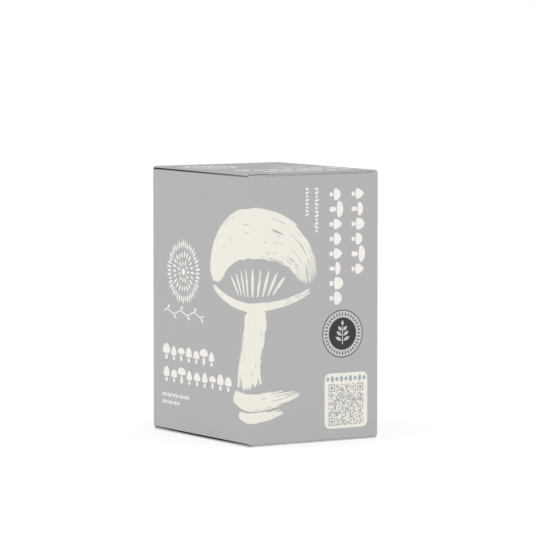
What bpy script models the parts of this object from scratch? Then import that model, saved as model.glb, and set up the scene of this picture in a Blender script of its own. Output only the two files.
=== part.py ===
"""Mushroom grow kit: a tuck-end carton of folding board with its grow bag standing inside.

Units are metres, +Z is up and the front wall faces -Y. The origin is in the middle of the
footprint, on the surface that the carton stands on.
"""
import math

import bmesh
import bpy
from mathutils import Matrix, Vector, noise

MM = 0.001

# Carton, overall
WIDTH = 139 * MM                # across the front wall, along X
DEPTH = 113 * MM                # from the front wall to the back wall, along Y
WALL_TOP = 198 * MM             # raw top edge of the front wall
BOARD = 0.7 * MM                # thickness of the board
FOLD_RADIUS = 0.5 * MM          # of a fold, on the middle of the board
FOLD_FLAT = 18                  # degrees turned by each flat round a fold
SCORE = 0.3 * MM                # open score line between two panels
GAP = 0.3 * MM                  # air between pieces that lie on each other

# Glue lap, inside the left wall
LAP = 18 * MM                   # width of the lap
LAP_INSET = 4 * MM              # how far it stops short of the walls' edges
LAP_TAPER = 5 * MM              # how much more it loses towards its free edge
GLUE = 0.1 * MM                 # glue between the lap and the wall

# Lid and bottom closure
CLOSURE_INSET = 0.4 * MM        # of each side edge of a closure panel from the side walls
CREASE_NICK = 6 * MM            # left uncreased at both ends of a back crease
CORNER_CUT = 1.5 * MM           # chamfer of a closure panel's front corners
FRONT_SETBACK = 0.15 * MM       # of a front fold from the front wall's outer face
JOG_ANGLE = 50                  # degrees past upright that a front fold turns in
JOG_AIR = 0.6 * MM              # between the flat behind that fold and the wall's edge
TUCK = 18 * MM                  # length of a tuck flap
TUCK_AIR = 0.45 * MM            # between the root of the tuck flap and the front wall
TUCK_SWING_AIR = 0.35 * MM      # between its free edge and the wall as the lid swings
TUCK_INSET = 2 * MM             # of its side edges from the side walls
TUCK_CORNER = 11 * MM           # radius of its free corners

# Dust flaps under the lid
DUST_FLAP_SPACE = 19 * MM       # between the free ends of the two flaps
DUST_FRONT_RELIEF = 16 * MM     # of the crease from the front wall
DUST_BACK_RELIEF = 7 * MM       # of the crease from the back wall
DUST_CUT = 9 * MM               # slanted cut at the back edge
DUST_TAPER = 3 * MM             # narrowing of each edge over the rest of the flap
DUST_CORNER = 8 * MM            # radius of the free corners
DUST_DROOP = 1.5                # degrees that the flap hangs in

# Flaps above the bottom closure
BASE_FLAP_SPACE = 15 * MM       # between the free ends of the two flaps
BASE_RELIEF = 1.2 * MM          # of the crease from the front and back walls
BASE_CUT = 1.4 * MM             # run of the short cut beside the crease
BASE_CUT_DEPTH = 4 * MM         # how far that cut clears the bottom tuck flap

# Substrate block
BLOCK_HEIGHT = 130 * MM
BLOCK_CORNER = 12 * MM          # rounding of the block
BLOCK_CUTS = 9                  # cuts of each side of the cube that it starts from
LUMP_HEIGHT = 0.7 * MM          # swelling of the grown surface
LUMP_SCALE = 60                 # lumps per metre

# Grow bag
FILM = 0.35 * MM                # thickness of the bag's film
BAG_AIR = 7.25 * MM             # between the bag and the carton's walls
BAG_SLACK = 1.2 * MM            # air between the film and the block's sides
BAG_UNDER = 0.45 * MM           # air between the film and the block's underside
BAG_HEEL = 6 * MM               # rounding of the bag's bottom edge
BAG_HEAD = 3 * MM               # straight film above the block
ROOF = 15 * MM                  # height over which the film closes in to the neck
NECK_INSET = 3.5 * MM           # of the neck's side edges from the bag's sides
NECK_HALF_THICKNESS = 1.6 * MM
NECK_RISE = 1 * MM              # upright neck below its fold
NECK_FOLD_RADIUS = 3 * MM
NECK_FOLD_STEPS = 5
NECK_LENGTH = 26 * MM           # of the neck past its fold
SEAL = 6 * MM                   # pressed end of the neck
SEAL_HALF_THICKNESS = 0.8 * MM
SIDE_SPANS = 8                  # faces along each straight side of a section of the bag
CORNER_STEPS = 3                # faces round each corner of a section
ROOF_RINGS = 4                  # rings of faces up the roof

# Filter patch, on the front slope of the bag's roof
PATCH_SIZE = Vector((46 * MM, 34 * MM, 0.4 * MM))
PATCH_CORNER = 5 * MM
PATCH_UP_SLOPE = 0.5            # place of its middle between the roof's foot and the neck

# Heights that follow from the sizes above
FOLD_OUTER = FOLD_RADIUS + BOARD / 2
FOLD_Y = FRONT_SETBACK + FOLD_OUTER     # of a front fold's centre, from the front wall's face
JOG_TURN = math.radians(JOG_ANGLE)
FRONT_EDGE = FOLD_OUTER + (             # from a closure's outer face to the front wall's edge
    JOG_AIR + FOLD_OUTER + (BOARD - FOLD_Y) * math.cos(JOG_TURN)
) / math.sin(JOG_TURN)
SIDE_BOTTOM = FOLD_OUTER + SCORE + BOARD + GAP      # the flaps' folds fit under the side walls
LID_TOP = WALL_TOP + FRONT_EDGE
RIM_TOP = LID_TOP - BOARD - GAP                     # of the side walls' ends, under the lid
SIDE_TOP = RIM_TOP - FOLD_OUTER - SCORE             # of the side walls along the flaps' creases
BACK_TOP = LID_TOP - FOLD_OUTER - SCORE
BACK_BOTTOM = FOLD_OUTER + SCORE
HINGE_Z = BACK_TOP + SCORE / 2

# Tuck flap: its free edge swings past the front wall's inner face
SWING = DEPTH - BOARD - TUCK_SWING_AIR              # from the hinge, at most
TUCK_EDGE_Y = DEPTH - math.sqrt(SWING ** 2 - (TUCK + HINGE_Z - SIDE_TOP) ** 2)
TUCK_SLANT = math.asin((TUCK_EDGE_Y - BOARD - TUCK_AIR) / TUCK)
JOG = (                                             # flat between a front fold and its flap
    1.5 * BOARD + TUCK_AIR - FOLD_Y
    - FOLD_RADIUS * (math.cos(TUCK_SLANT) - 2 * math.cos(JOG_TURN))
) / math.sin(JOG_TURN)

# Flaps, and the bag and block that fill the carton
DUST_FLAP = (WIDTH - DUST_FLAP_SPACE) / 2           # length in from the side wall
BASE_FLAP = (WIDTH - BASE_FLAP_SPACE) / 2
BAG_BOTTOM = 2 * (BOARD + GAP)                      # on the bottom closure and its flaps
BAG_HALF_WIDTH = WIDTH / 2 - BOARD - BAG_AIR
BAG_HALF_DEPTH = DEPTH / 2 - BOARD - BAG_AIR
BLOCK_SIZE = Vector((
    2 * (BAG_HALF_WIDTH - FILM - BAG_SLACK),
    2 * (BAG_HALF_DEPTH - FILM - BAG_SLACK),
    BLOCK_HEIGHT,
))
BLOCK_BOTTOM = BAG_BOTTOM + FILM + BAG_UNDER
ROOF_BOTTOM = BLOCK_BOTTOM + BLOCK_HEIGHT + BAG_HEAD
NECK_HALF_WIDTH = BAG_HALF_WIDTH - NECK_INSET

# World axes that a strip's two drawing directions and its width run along
PLANES = {"plan": (0, 1, 2), "front": (0, 2, 1), "side": (1, 2, 0)}


def material(name, color, roughness):
    """A plain surface with the piece's own colour, given as linear RGB."""
    surface = bpy.data.materials.new(name)
    surface.use_nodes = True
    shader = surface.node_tree.nodes["Principled BSDF"]
    shader.inputs["Base Color"].default_value = (*color, 1)
    shader.inputs["Roughness"].default_value = roughness
    shader.inputs["Metallic"].default_value = 0
    surface.diffuse_color = (*color, 1)
    return surface


def add_object(name, mesh_builder, surface, parent):
    """Turns a bmesh into a named object, and frees the bmesh."""
    mesh = bpy.data.meshes.new(name)
    mesh_builder.to_mesh(mesh)
    mesh_builder.free()
    mesh.materials.append(surface)
    piece = bpy.data.objects.new(name, mesh)
    bpy.context.collection.objects.link(piece)
    piece.parent = parent
    piece.matrix_parent_inverse = parent.matrix_world.inverted()
    return piece


def add_thickness(piece, thickness, offset):
    """Gives a sheet its thickness: offset 0 on both sides, -1 behind its faces."""
    wall = piece.modifiers.new("Thickness", "SOLIDIFY")
    wall.thickness = thickness
    wall.offset = offset
    wall.use_even_offset = True


class Strip:
    """A strip of board, drawn along its middle as straight runs and folds.

    The drawing lies in one of PLANES, and headings are in degrees, turning left from the
    plane's first direction. At each station the strip reaches across the plane from a
    low edge to a high edge.
    """

    STEP = 0.2 * MM             # run in which the edges jump to another width

    def __init__(self, plane, start, heading, low, high):
        self.axes = PLANES[plane]
        self.heading = heading
        self.stations = [(*start, low, high)]

    def run(self, length, low=None, high=None):
        """Goes straight on, while the edges change evenly to low and high."""
        u, v, old_low, old_high = self.stations[-1]
        angle = math.radians(self.heading)
        self.stations.append((
            u + length * math.cos(angle),
            v + length * math.sin(angle),
            old_low if low is None else low,
            old_high if high is None else high,
        ))

    def run_to(self, direction, target):
        """Goes straight on up to a target on the plane's first (0) or second (1) direction."""
        self.run(abs(target - self.stations[-1][direction]))

    def step(self, low, high):
        """Jumps to other edges."""
        self.run(self.STEP, low, high)

    def arc(self, radius, heading, steps):
        """Turns to a heading along an arc."""
        turn = (heading - self.heading) / steps
        chord = 2 * radius * math.sin(math.radians(abs(turn)) / 2)
        for _ in range(steps):
            self.heading += turn / 2
            self.run(chord)
            self.heading += turn / 2

    def fold(self, heading):
        """Folds the board to a heading."""
        self.arc(FOLD_RADIUS, heading, math.ceil(abs(heading - self.heading) / FOLD_FLAT))

    def round_off(self, radius, steps=6):
        """Ends the strip with two rounded corners."""
        _, _, low, high = self.stations[-1]
        gone = 0
        for step in range(1, steps + 1):
            angle = math.radians(90 * step / steps)
            ahead = radius * math.sin(angle)
            inset = radius * (1 - math.cos(angle))
            self.run(ahead - gone, low + inset, high - inset)
            gone = ahead

    def build(self, name, surface, parent):
        """Makes the strip an object with the board's thickness."""
        sheet = bmesh.new()
        previous = None
        for u, v, low, high in self.stations:
            pair = []
            for across in (low, high):
                point = Vector()
                for axis, value in zip(self.axes, (u, v, across)):
                    point[axis] = value
                pair.append(sheet.verts.new(point))
            if previous:
                sheet.faces.new((*previous, pair[1], pair[0]))
            previous = pair
        piece = add_object(name, sheet, surface, parent)
        add_thickness(piece, BOARD, 0)
        return piece


def carton_sleeve(surface, parent):
    """The four walls, wrapped from the glue lap round to the left wall's raw edge."""
    left = -WIDTH / 2 + BOARD / 2
    right = WIDTH / 2 - BOARD / 2
    front = -DEPTH / 2 + BOARD / 2
    back = DEPTH / 2 - BOARD / 2
    lap = left + BOARD + GLUE
    edge = LAP_INSET + LAP_TAPER
    flap_front = -DEPTH / 2 + DUST_FRONT_RELIEF - GAP
    flap_back = DEPTH / 2 - DUST_BACK_RELIEF + GAP
    strip = Strip("plan", (lap, back - FOLD_RADIUS - LAP), 90, SIDE_BOTTOM + edge, WALL_TOP - edge)
    strip.run(LAP, SIDE_BOTTOM + LAP_INSET, WALL_TOP - LAP_INSET)
    strip.fold(0)
    strip.step(SIDE_BOTTOM, BACK_TOP)
    strip.run_to(0, -WIDTH / 2 + CREASE_NICK)
    strip.step(BACK_BOTTOM, BACK_TOP)
    strip.run_to(0, WIDTH / 2 - CREASE_NICK)
    strip.step(SIDE_BOTTOM, BACK_TOP)
    strip.run_to(0, right - FOLD_RADIUS)
    strip.fold(-90)
    strip.step(SIDE_BOTTOM, RIM_TOP)
    strip.run_to(1, flap_back + strip.STEP)
    strip.step(SIDE_BOTTOM, SIDE_TOP)
    strip.run_to(1, flap_front)
    strip.step(SIDE_BOTTOM, RIM_TOP)
    strip.run_to(1, front + FOLD_RADIUS)
    strip.fold(-180)
    strip.step(FRONT_EDGE, WALL_TOP)
    strip.run_to(0, left + FOLD_RADIUS + strip.STEP)
    strip.step(SIDE_BOTTOM, RIM_TOP)
    strip.fold(-270)
    strip.run_to(1, flap_front - strip.STEP)
    strip.step(SIDE_BOTTOM, SIDE_TOP)
    strip.run_to(1, flap_back)
    strip.step(SIDE_BOTTOM, RIM_TOP)
    strip.run_to(1, DEPTH / 2)
    return strip.build("carton_sleeve", surface, parent)


def closure(name, upward, crease_z, surface, parent):
    """A closure: from its crease on the back wall to the free edge of its tuck flap.

    upward is 1 for the lid and -1 for the bottom. The fold at the back starts at crease_z.
    """
    crease = WIDTH / 2 - CREASE_NICK
    panel = WIDTH / 2 - CLOSURE_INSET
    tuck = WIDTH / 2 - TUCK_INSET
    fold_y = -DEPTH / 2 + FOLD_Y
    # The shape is drawn as a lid. A bottom is that drawing turned over about z = 0.
    strip = Strip("side", (DEPTH / 2 - BOARD / 2, upward * crease_z), 90, -crease, crease)
    strip.fold(180)
    strip.step(-panel, panel)
    strip.run_to(0, fold_y + CORNER_CUT)
    strip.run(CORNER_CUT, -tuck, tuck)
    strip.fold(270 + JOG_ANGLE)
    strip.run(JOG)
    strip.fold(270 + math.degrees(TUCK_SLANT))
    strip.run(TUCK - TUCK_CORNER)
    strip.round_off(TUCK_CORNER)
    strip.stations = [(u, upward * v, low, high) for u, v, low, high in strip.stations]
    return strip.build(name, surface, parent)


def flap(name, side, upward, outline, surface, parent):
    """A flap on a side wall. side is 1 on the right wall and -1 on the left.

    outline holds the flap's droop, its relief at the front and back ends of the crease, its
    further stations as (run, front edge, back edge), and the radius of its corners.
    """
    droop, relief, stations, corner = outline
    wall_edge = SIDE_TOP + SCORE if upward > 0 else SIDE_BOTTOM - SCORE
    front, back = -DEPTH / 2, DEPTH / 2
    strip = Strip("front", (WIDTH / 2 - BOARD / 2, upward * wall_edge), 90,
                  front + relief[0], back - relief[1])
    strip.fold(180 + droop)
    for length, front_inset, back_inset in stations:
        strip.run(length, front + front_inset, back - back_inset)
    strip.round_off(corner)
    strip.stations = [(side * u, upward * v, low, high) for u, v, low, high in strip.stations]
    return strip.build(name, surface, parent)


def dust_outline():
    """Outline of a flap under the lid, which clears the tuck flap and the back crease."""
    rest = DUST_FLAP - FOLD_OUTER - DUST_CUT - DUST_CORNER
    back = DUST_BACK_RELIEF + DUST_CUT
    return (
        DUST_DROOP,
        (DUST_FRONT_RELIEF, DUST_BACK_RELIEF),
        [
            (DUST_CUT, DUST_FRONT_RELIEF, back),
            (rest, DUST_FRONT_RELIEF + DUST_TAPER, back + DUST_TAPER),
        ],
        DUST_CORNER,
    )


def base_outline():
    """Outline of a flap above the bottom closure, creased along the whole side wall."""
    cut = BASE_RELIEF + BASE_CUT_DEPTH
    rest = BASE_FLAP - FOLD_OUTER - BASE_CUT - DUST_CORNER
    return (
        0,
        (BASE_RELIEF, BASE_RELIEF),
        [(BASE_CUT, cut, cut), (rest, cut + DUST_TAPER, cut + DUST_TAPER)],
        DUST_CORNER,
    )


def substrate_block(surface, parent):
    """The block: a rounded box with the gentle lumps of a grown-through surface."""
    half = BLOCK_SIZE / 2
    block = bmesh.new()
    bmesh.ops.create_cube(block, size=1)
    bmesh.ops.scale(block, vec=BLOCK_SIZE, verts=block.verts)
    bmesh.ops.subdivide_edges(block, edges=block.edges, cuts=BLOCK_CUTS, use_grid_fill=True)
    for vert in block.verts:
        # The cuts crowd towards the edges, where the rounding needs them
        vert.co = Vector(
            size * math.sin(math.pi / 2 * value / size) for value, size in zip(vert.co, half)
        )
        core = Vector(
            max(-size + BLOCK_CORNER, min(size - BLOCK_CORNER, value))
            for value, size in zip(vert.co, half)
        )
        outward = (vert.co - core).normalized()
        lump = LUMP_HEIGHT * noise.noise(vert.co * LUMP_SCALE)
        vert.co = core + outward * (BLOCK_CORNER + lump)
        vert.co.z = max(vert.co.z, -half.z)
    bmesh.ops.translate(block, vec=Vector((0, 0, BLOCK_BOTTOM + half.z)), verts=block.verts)
    return add_object("substrate_block", block, surface, parent)


def section(centre, tilt, half_width, half_depth, corner):
    """Points round one section of the bag, a rounded rectangle.

    tilt is the angle in degrees between the section's plane and level, about X. The points
    go round anticlockwise from the first cut of the front side.
    """
    points = []
    places = ((1, -1), (1, 1), (-1, 1), (-1, -1))
    for quarter, (side_x, side_y) in enumerate(places):
        if quarter in (0, 2):
            start = -side_x * (half_width - corner)
            for span in range(1, SIDE_SPANS):
                x = start + 2 * side_x * (half_width - corner) * span / SIDE_SPANS
                points.append((x, side_y * half_depth))
        for step in range(CORNER_STEPS + 1):
            angle = math.radians(90 * (quarter - 1 + step / CORNER_STEPS))
            points.append((
                side_x * (half_width - corner) + corner * math.cos(angle),
                side_y * (half_depth - corner) + corner * math.sin(angle),
            ))
    turn = math.radians(tilt)
    return [
        Vector((x, centre[0] + y * math.cos(turn), centre[1] + y * math.sin(turn)))
        for x, y in points
    ]


def bag_sections():
    """Sections of the bag from its bottom to the sealed end of its folded neck."""
    full = BLOCK_CORNER + BAG_SLACK + FILM
    sections = []
    for step in range(3):
        angle = math.radians(45 * step)
        inset = BAG_HEEL * (1 - math.sin(angle))
        z = BAG_BOTTOM + BAG_HEEL * (1 - math.cos(angle))
        sections.append(section((0, z), 0, BAG_HALF_WIDTH - inset, BAG_HALF_DEPTH - inset,
                                full - inset))
    roof_start = len(sections)
    for ring in range(ROOF_RINGS + 1):
        part = ring / ROOF_RINGS
        depth = BAG_HALF_DEPTH + (NECK_HALF_THICKNESS - BAG_HALF_DEPTH) * part
        width = BAG_HALF_WIDTH + (NECK_HALF_WIDTH - BAG_HALF_WIDTH) * part
        sections.append(section((0, ROOF_BOTTOM + ROOF * part), 0, width, depth,
                                min(full, 0.9 * depth)))
    neck = Strip("side", (0, ROOF_BOTTOM + ROOF), 90, 0, NECK_HALF_THICKNESS)
    neck.run(NECK_RISE)
    headings = [90, 90]
    slope = math.degrees(math.atan2(ROOF, BAG_HALF_DEPTH - NECK_HALF_THICKNESS))
    for step in range(1, NECK_FOLD_STEPS + 1):
        target = 90 - (90 + slope) * step / NECK_FOLD_STEPS
        neck.arc(NECK_FOLD_RADIUS, target, 1)
        headings.append(target)
    neck.run(NECK_LENGTH - SEAL)
    neck.run(SEAL / 3, 0, SEAL_HALF_THICKNESS)
    neck.run(SEAL * 2 / 3)
    headings += [-slope] * 3
    for (y, z, _, thickness), heading in list(zip(neck.stations, headings))[1:]:
        sections.append(section((y, z), heading - 90, NECK_HALF_WIDTH, thickness,
                                0.9 * thickness))
    return sections, roof_start


def grow_bag(surface, parent):
    """The film bag: a loft of its sections, with the filter window open in its front slope."""
    sections, roof_start = bag_sections()
    bag = bmesh.new()
    rings = [[bag.verts.new(point) for point in points] for points in sections]
    count = len(rings[0])
    window = range(SIDE_SPANS // 2 - 2, SIDE_SPANS // 2)
    for level, (lower, upper) in enumerate(zip(rings, rings[1:])):
        on_slope = roof_start < level < roof_start + ROOF_RINGS - 1
        for index in range(count):
            if on_slope and index in window:
                continue
            after = (index + 1) % count
            bag.faces.new((lower[index], lower[after], upper[after], upper[index]))
    bag.faces.new(reversed(rings[0]))
    bag.faces.new(rings[-1])
    piece = add_object("grow_bag", bag, surface, parent)
    add_thickness(piece, FILM, -1)
    return piece


def filter_patch(surface, parent):
    """The breathing patch, lying on the front slope of the bag's roof over the window."""
    patch = bmesh.new()
    bmesh.ops.create_cube(patch, size=1)
    bmesh.ops.scale(patch, vec=PATCH_SIZE, verts=patch.verts)
    upright = [edge for edge in patch.edges
               if abs(edge.verts[0].co.z - edge.verts[1].co.z) > PATCH_SIZE.z / 2]
    bmesh.ops.bevel(patch, geom=upright, offset=PATCH_CORNER, segments=5, profile=0.5,
                    affect="EDGES", material=-1)
    run = BAG_HALF_DEPTH - NECK_HALF_THICKNESS
    slope = math.atan2(ROOF, run)
    lift = GAP + PATCH_SIZE.z / 2
    middle = Vector((0, -BAG_HALF_DEPTH + run * PATCH_UP_SLOPE,
                     ROOF_BOTTOM + ROOF * PATCH_UP_SLOPE))
    middle += lift * Vector((0, -math.sin(slope), math.cos(slope)))
    place = Matrix.Translation(middle) @ Matrix.Rotation(slope, 4, "X")
    piece = add_object("filter_patch", patch, surface, parent)
    piece.matrix_world = place
    return piece


def empty(name, location):
    """An unseen parent for the pieces of one body."""
    holder = bpy.data.objects.new(name, None)
    holder.location = location
    bpy.context.collection.objects.link(holder)
    bpy.context.view_layer.update()
    return holder


def main():
    """Clears the scene and builds the kit."""
    for old in list(bpy.data.objects):
        bpy.data.objects.remove(old, do_unlink=True)

    board = material("printed_board", (0.468, 0.468, 0.468), 0.6)
    film = material("bag_film", (0.82, 0.84, 0.82), 0.25)
    membrane = material("filter_membrane", (0.86, 0.86, 0.84), 0.8)
    mycelium = material("mycelium", (0.75, 0.68, 0.55), 0.9)

    carton = empty("carton", (0, 0, 0))
    lid_hinge = empty("lid_hinge", (0, DEPTH / 2, HINGE_Z))

    carton_sleeve(board, carton)
    closure("lid", 1, BACK_TOP + SCORE, board, lid_hinge)
    closure("bottom_closure", -1, BACK_BOTTOM - SCORE, board, carton)
    for side, word in ((-1, "left"), (1, "right")):
        flap(f"dust_flap_{word}", side, 1, dust_outline(), board, carton)
        flap(f"bottom_flap_{word}", side, -1, base_outline(), board, carton)
    substrate_block(mycelium, carton)
    grow_bag(film, carton)
    filter_patch(membrane, carton)


main()
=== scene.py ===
"""Looks of a mushroom grow kit: a printed tuck-end carton with its grow bag inside.

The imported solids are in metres, with the front wall facing -Y and the right wall facing +X.
Printed shapes are drawn flat in millimetres and then laid on the board.
"""
import logging
import math
import random
from dataclasses import dataclass, field
from enum import Enum
from typing import Iterable, NamedTuple, Optional, Sequence, Union

import bmesh
import bpy
from mathutils import Matrix, Vector, geometry, noise


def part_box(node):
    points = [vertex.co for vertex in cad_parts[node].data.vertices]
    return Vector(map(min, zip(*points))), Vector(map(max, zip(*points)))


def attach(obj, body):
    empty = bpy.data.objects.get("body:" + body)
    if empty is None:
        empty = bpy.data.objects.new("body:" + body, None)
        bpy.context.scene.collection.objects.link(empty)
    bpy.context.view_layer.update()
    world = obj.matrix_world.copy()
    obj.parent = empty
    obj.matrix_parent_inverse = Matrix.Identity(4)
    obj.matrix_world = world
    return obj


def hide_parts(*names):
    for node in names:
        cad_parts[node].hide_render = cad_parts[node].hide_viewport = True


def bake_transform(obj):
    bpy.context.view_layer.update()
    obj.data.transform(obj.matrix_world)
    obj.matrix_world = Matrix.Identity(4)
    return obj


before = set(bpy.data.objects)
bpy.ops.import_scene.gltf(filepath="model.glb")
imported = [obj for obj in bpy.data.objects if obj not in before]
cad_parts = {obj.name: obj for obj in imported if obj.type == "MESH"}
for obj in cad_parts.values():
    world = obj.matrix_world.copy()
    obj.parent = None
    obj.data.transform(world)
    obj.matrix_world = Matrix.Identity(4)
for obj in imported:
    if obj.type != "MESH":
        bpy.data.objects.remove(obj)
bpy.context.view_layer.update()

LOG = logging.getLogger("grow_kit")
MM = 0.001
Pair = tuple[float, float]
Triple = tuple[float, float, float]
Point = Pair                                            # in millimetres on an unrolled face
Color = Triple
Direction = Triple
Socket = bpy.types.NodeSocket
Value = Union[float, Socket]                            # a number, or one that changes by place
Input = Union[float, Sequence[float], Socket]


class Pen:
    """Writes nodes into one node tree."""

    def __init__(self, tree: bpy.types.NodeTree) -> None:
        """Keeps the tree that is written to."""
        self.tree = tree

    def node(self, kind: str, inputs: Optional[dict[Union[str, int], Input]] = None,
             **settings: Union[str, bpy.types.NodeTree]) -> bpy.types.Node:
        """Adds a node.

        Args:
            kind: the node's type name, without its ShaderNode prefix.
            inputs: values or sockets for its inputs, by name or number.
            **settings: attributes of the node itself.

        Returns:
            The node.
        """
        made = self.tree.nodes.new("ShaderNode" + kind)
        for name, value in settings.items():
            setattr(made, name, value)
        for key, value in (inputs or {}).items():
            self.feed(made.inputs[key], value)
        return made

    def feed(self, socket: Socket, value: Input) -> None:
        """Links an input to another socket, or sets its plain value.

        Args:
            socket: the input.
            value: the other socket, or the value.
        """
        if isinstance(value, Socket):
            self.tree.links.new(value, socket)
        else:
            socket.default_value = value

    def math(self, operation: str, a: Value, b: Value = 0.0, c: Value = 0.0) -> Socket:
        """Returns the result of a sum on two or three values."""
        return self.node("Math", {0: a, 1: b, 2: c}, operation=operation).outputs[0]

    def steps(self, value: Value, low: float, high: float) -> Socket:
        """Turns a value into a smooth step.

        Args:
            value: the value that it follows.
            low: where the step starts.
            high: where it is over.

        Returns:
            A number that rises from 0 at low to 1 at high.
        """
        return self.node(
            "MapRange", {"Value": value, "From Min": low, "From Max": high},
            interpolation_type="SMOOTHSTEP",
        ).outputs[0]

    def dot(self, a: Socket, b: Union[Direction, Socket]) -> Socket:
        """Returns the dot product of two vectors."""
        return self.node("VectorMath", {0: a, 1: b}, operation="DOT_PRODUCT").outputs["Value"]

    def mix(self, factor: Value, a: Union[Color, Socket], b: Union[Color, Socket]) -> Socket:
        """Mixes two colours.

        Args:
            factor: the share of the second colour.
            a: the first colour.
            b: the second colour.

        Returns:
            The mixed colour.
        """
        made = self.node("Mix", data_type="RGBA")
        for number, value in ((0, factor), (6, a), (7, b)):
            if isinstance(value, tuple):
                value = (*value, 1.0)
            self.feed(made.inputs[number], value)
        return made.outputs[2]

    def noise(self, where: Socket, scale: float, detail: float = 2.0,
              stretch: Optional[Triple] = None) -> Socket:
        """Adds a noise pattern.

        Args:
            where: the coordinates that it reads, in metres.
            scale: its cells in each metre.
            detail: its finer layers.
            stretch: factors on the three coordinates, where it is drawn out.

        Returns:
            The pattern, from 0 to 1.
        """
        if stretch:
            where = self.node("Mapping", {"Vector": where, "Scale": stretch}).outputs[0]
        return self.node(
            "TexNoise", {"Vector": where, "Scale": scale, "Detail": detail}
        ).outputs["Fac"]


def new_group(name: str, inputs: dict[str, str],
              outputs: dict[str, str]) -> tuple[Pen, dict[str, Socket], dict[str, Socket]]:
    """Starts a shader node group.

    Args:
        name: the group's name.
        inputs: socket types by input name.
        outputs: socket types by output name.

    Returns:
        A pen for the group, its inputs' sockets and its outputs' sockets, each by name.
    """
    tree = bpy.data.node_groups.new(name, "ShaderNodeTree")
    for label, kind in inputs.items():
        tree.interface.new_socket(label, in_out="INPUT", socket_type="NodeSocket" + kind)
    for label, kind in outputs.items():
        tree.interface.new_socket(label, in_out="OUTPUT", socket_type="NodeSocket" + kind)
    entry = tree.nodes.new("NodeGroupInput")
    leave = tree.nodes.new("NodeGroupOutput")
    return (
        Pen(tree),
        {label: entry.outputs[label] for label in inputs},
        {label: leave.inputs[label] for label in outputs},
    )


def paper_group() -> bpy.types.NodeTree:
    """Makes the group for paper, once.

    Returns:
        The group. It puts out a shade near 1, which mottles a colour, and the height of the
        paper's tooth and fibres.
    """
    if "paper" in bpy.data.node_groups:
        return bpy.data.node_groups["paper"]
    pen, given, made = new_group(
        "paper",
        {"Vector": "Vector", "Mottle": "Float", "Fleck": "Float"},
        {"Shade": "Float", "Height": "Float"},
    )
    where = given["Vector"]
    cloud = pen.noise(where, 60, 3)
    tooth = pen.noise(where, 1400, 2)
    across = pen.noise(where, 500, 2, (1, 1, 0.18))
    along = pen.noise(where, 500, 2, (0.18, 0.18, 1))
    fibres = pen.math("MAXIMUM", across, along)
    height = pen.math("MULTIPLY_ADD", tooth, 0.6, pen.math("MULTIPLY", fibres, 0.8))
    specks = pen.steps(pen.noise(where, 900, 1), 0.64, 0.72)
    shade = pen.math("MULTIPLY_ADD", pen.math("SUBTRACT", cloud, 0.5), given["Mottle"], 1.0)
    shade = pen.math("MULTIPLY_ADD", pen.math("SUBTRACT", fibres, 0.55), given["Mottle"], shade)
    shade = pen.math("SUBTRACT", shade, pen.math("MULTIPLY", specks, given["Fleck"]))
    pen.feed(made["Shade"], shade)
    pen.feed(made["Height"], height)
    return pen.tree


def principled(name: str) -> tuple[bpy.types.Material, Pen, bpy.types.Node]:
    """Starts a material.

    Args:
        name: the material's name.

    Returns:
        The material, a pen for its nodes and its Principled shader.
    """
    surface = bpy.data.materials.new(name)
    surface.use_nodes = True
    return surface, Pen(surface.node_tree), surface.node_tree.nodes["Principled BSDF"]


def set_relief(pen: Pen, shader: bpy.types.Node, height: Value, depth: float,
               strength: float) -> None:
    """Feeds a shader's normal with a relief of that depth, in metres."""
    bump = pen.node("Bump", {"Height": height, "Distance": depth, "Strength": strength})
    pen.feed(shader.inputs["Normal"], bump.outputs[0])


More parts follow.
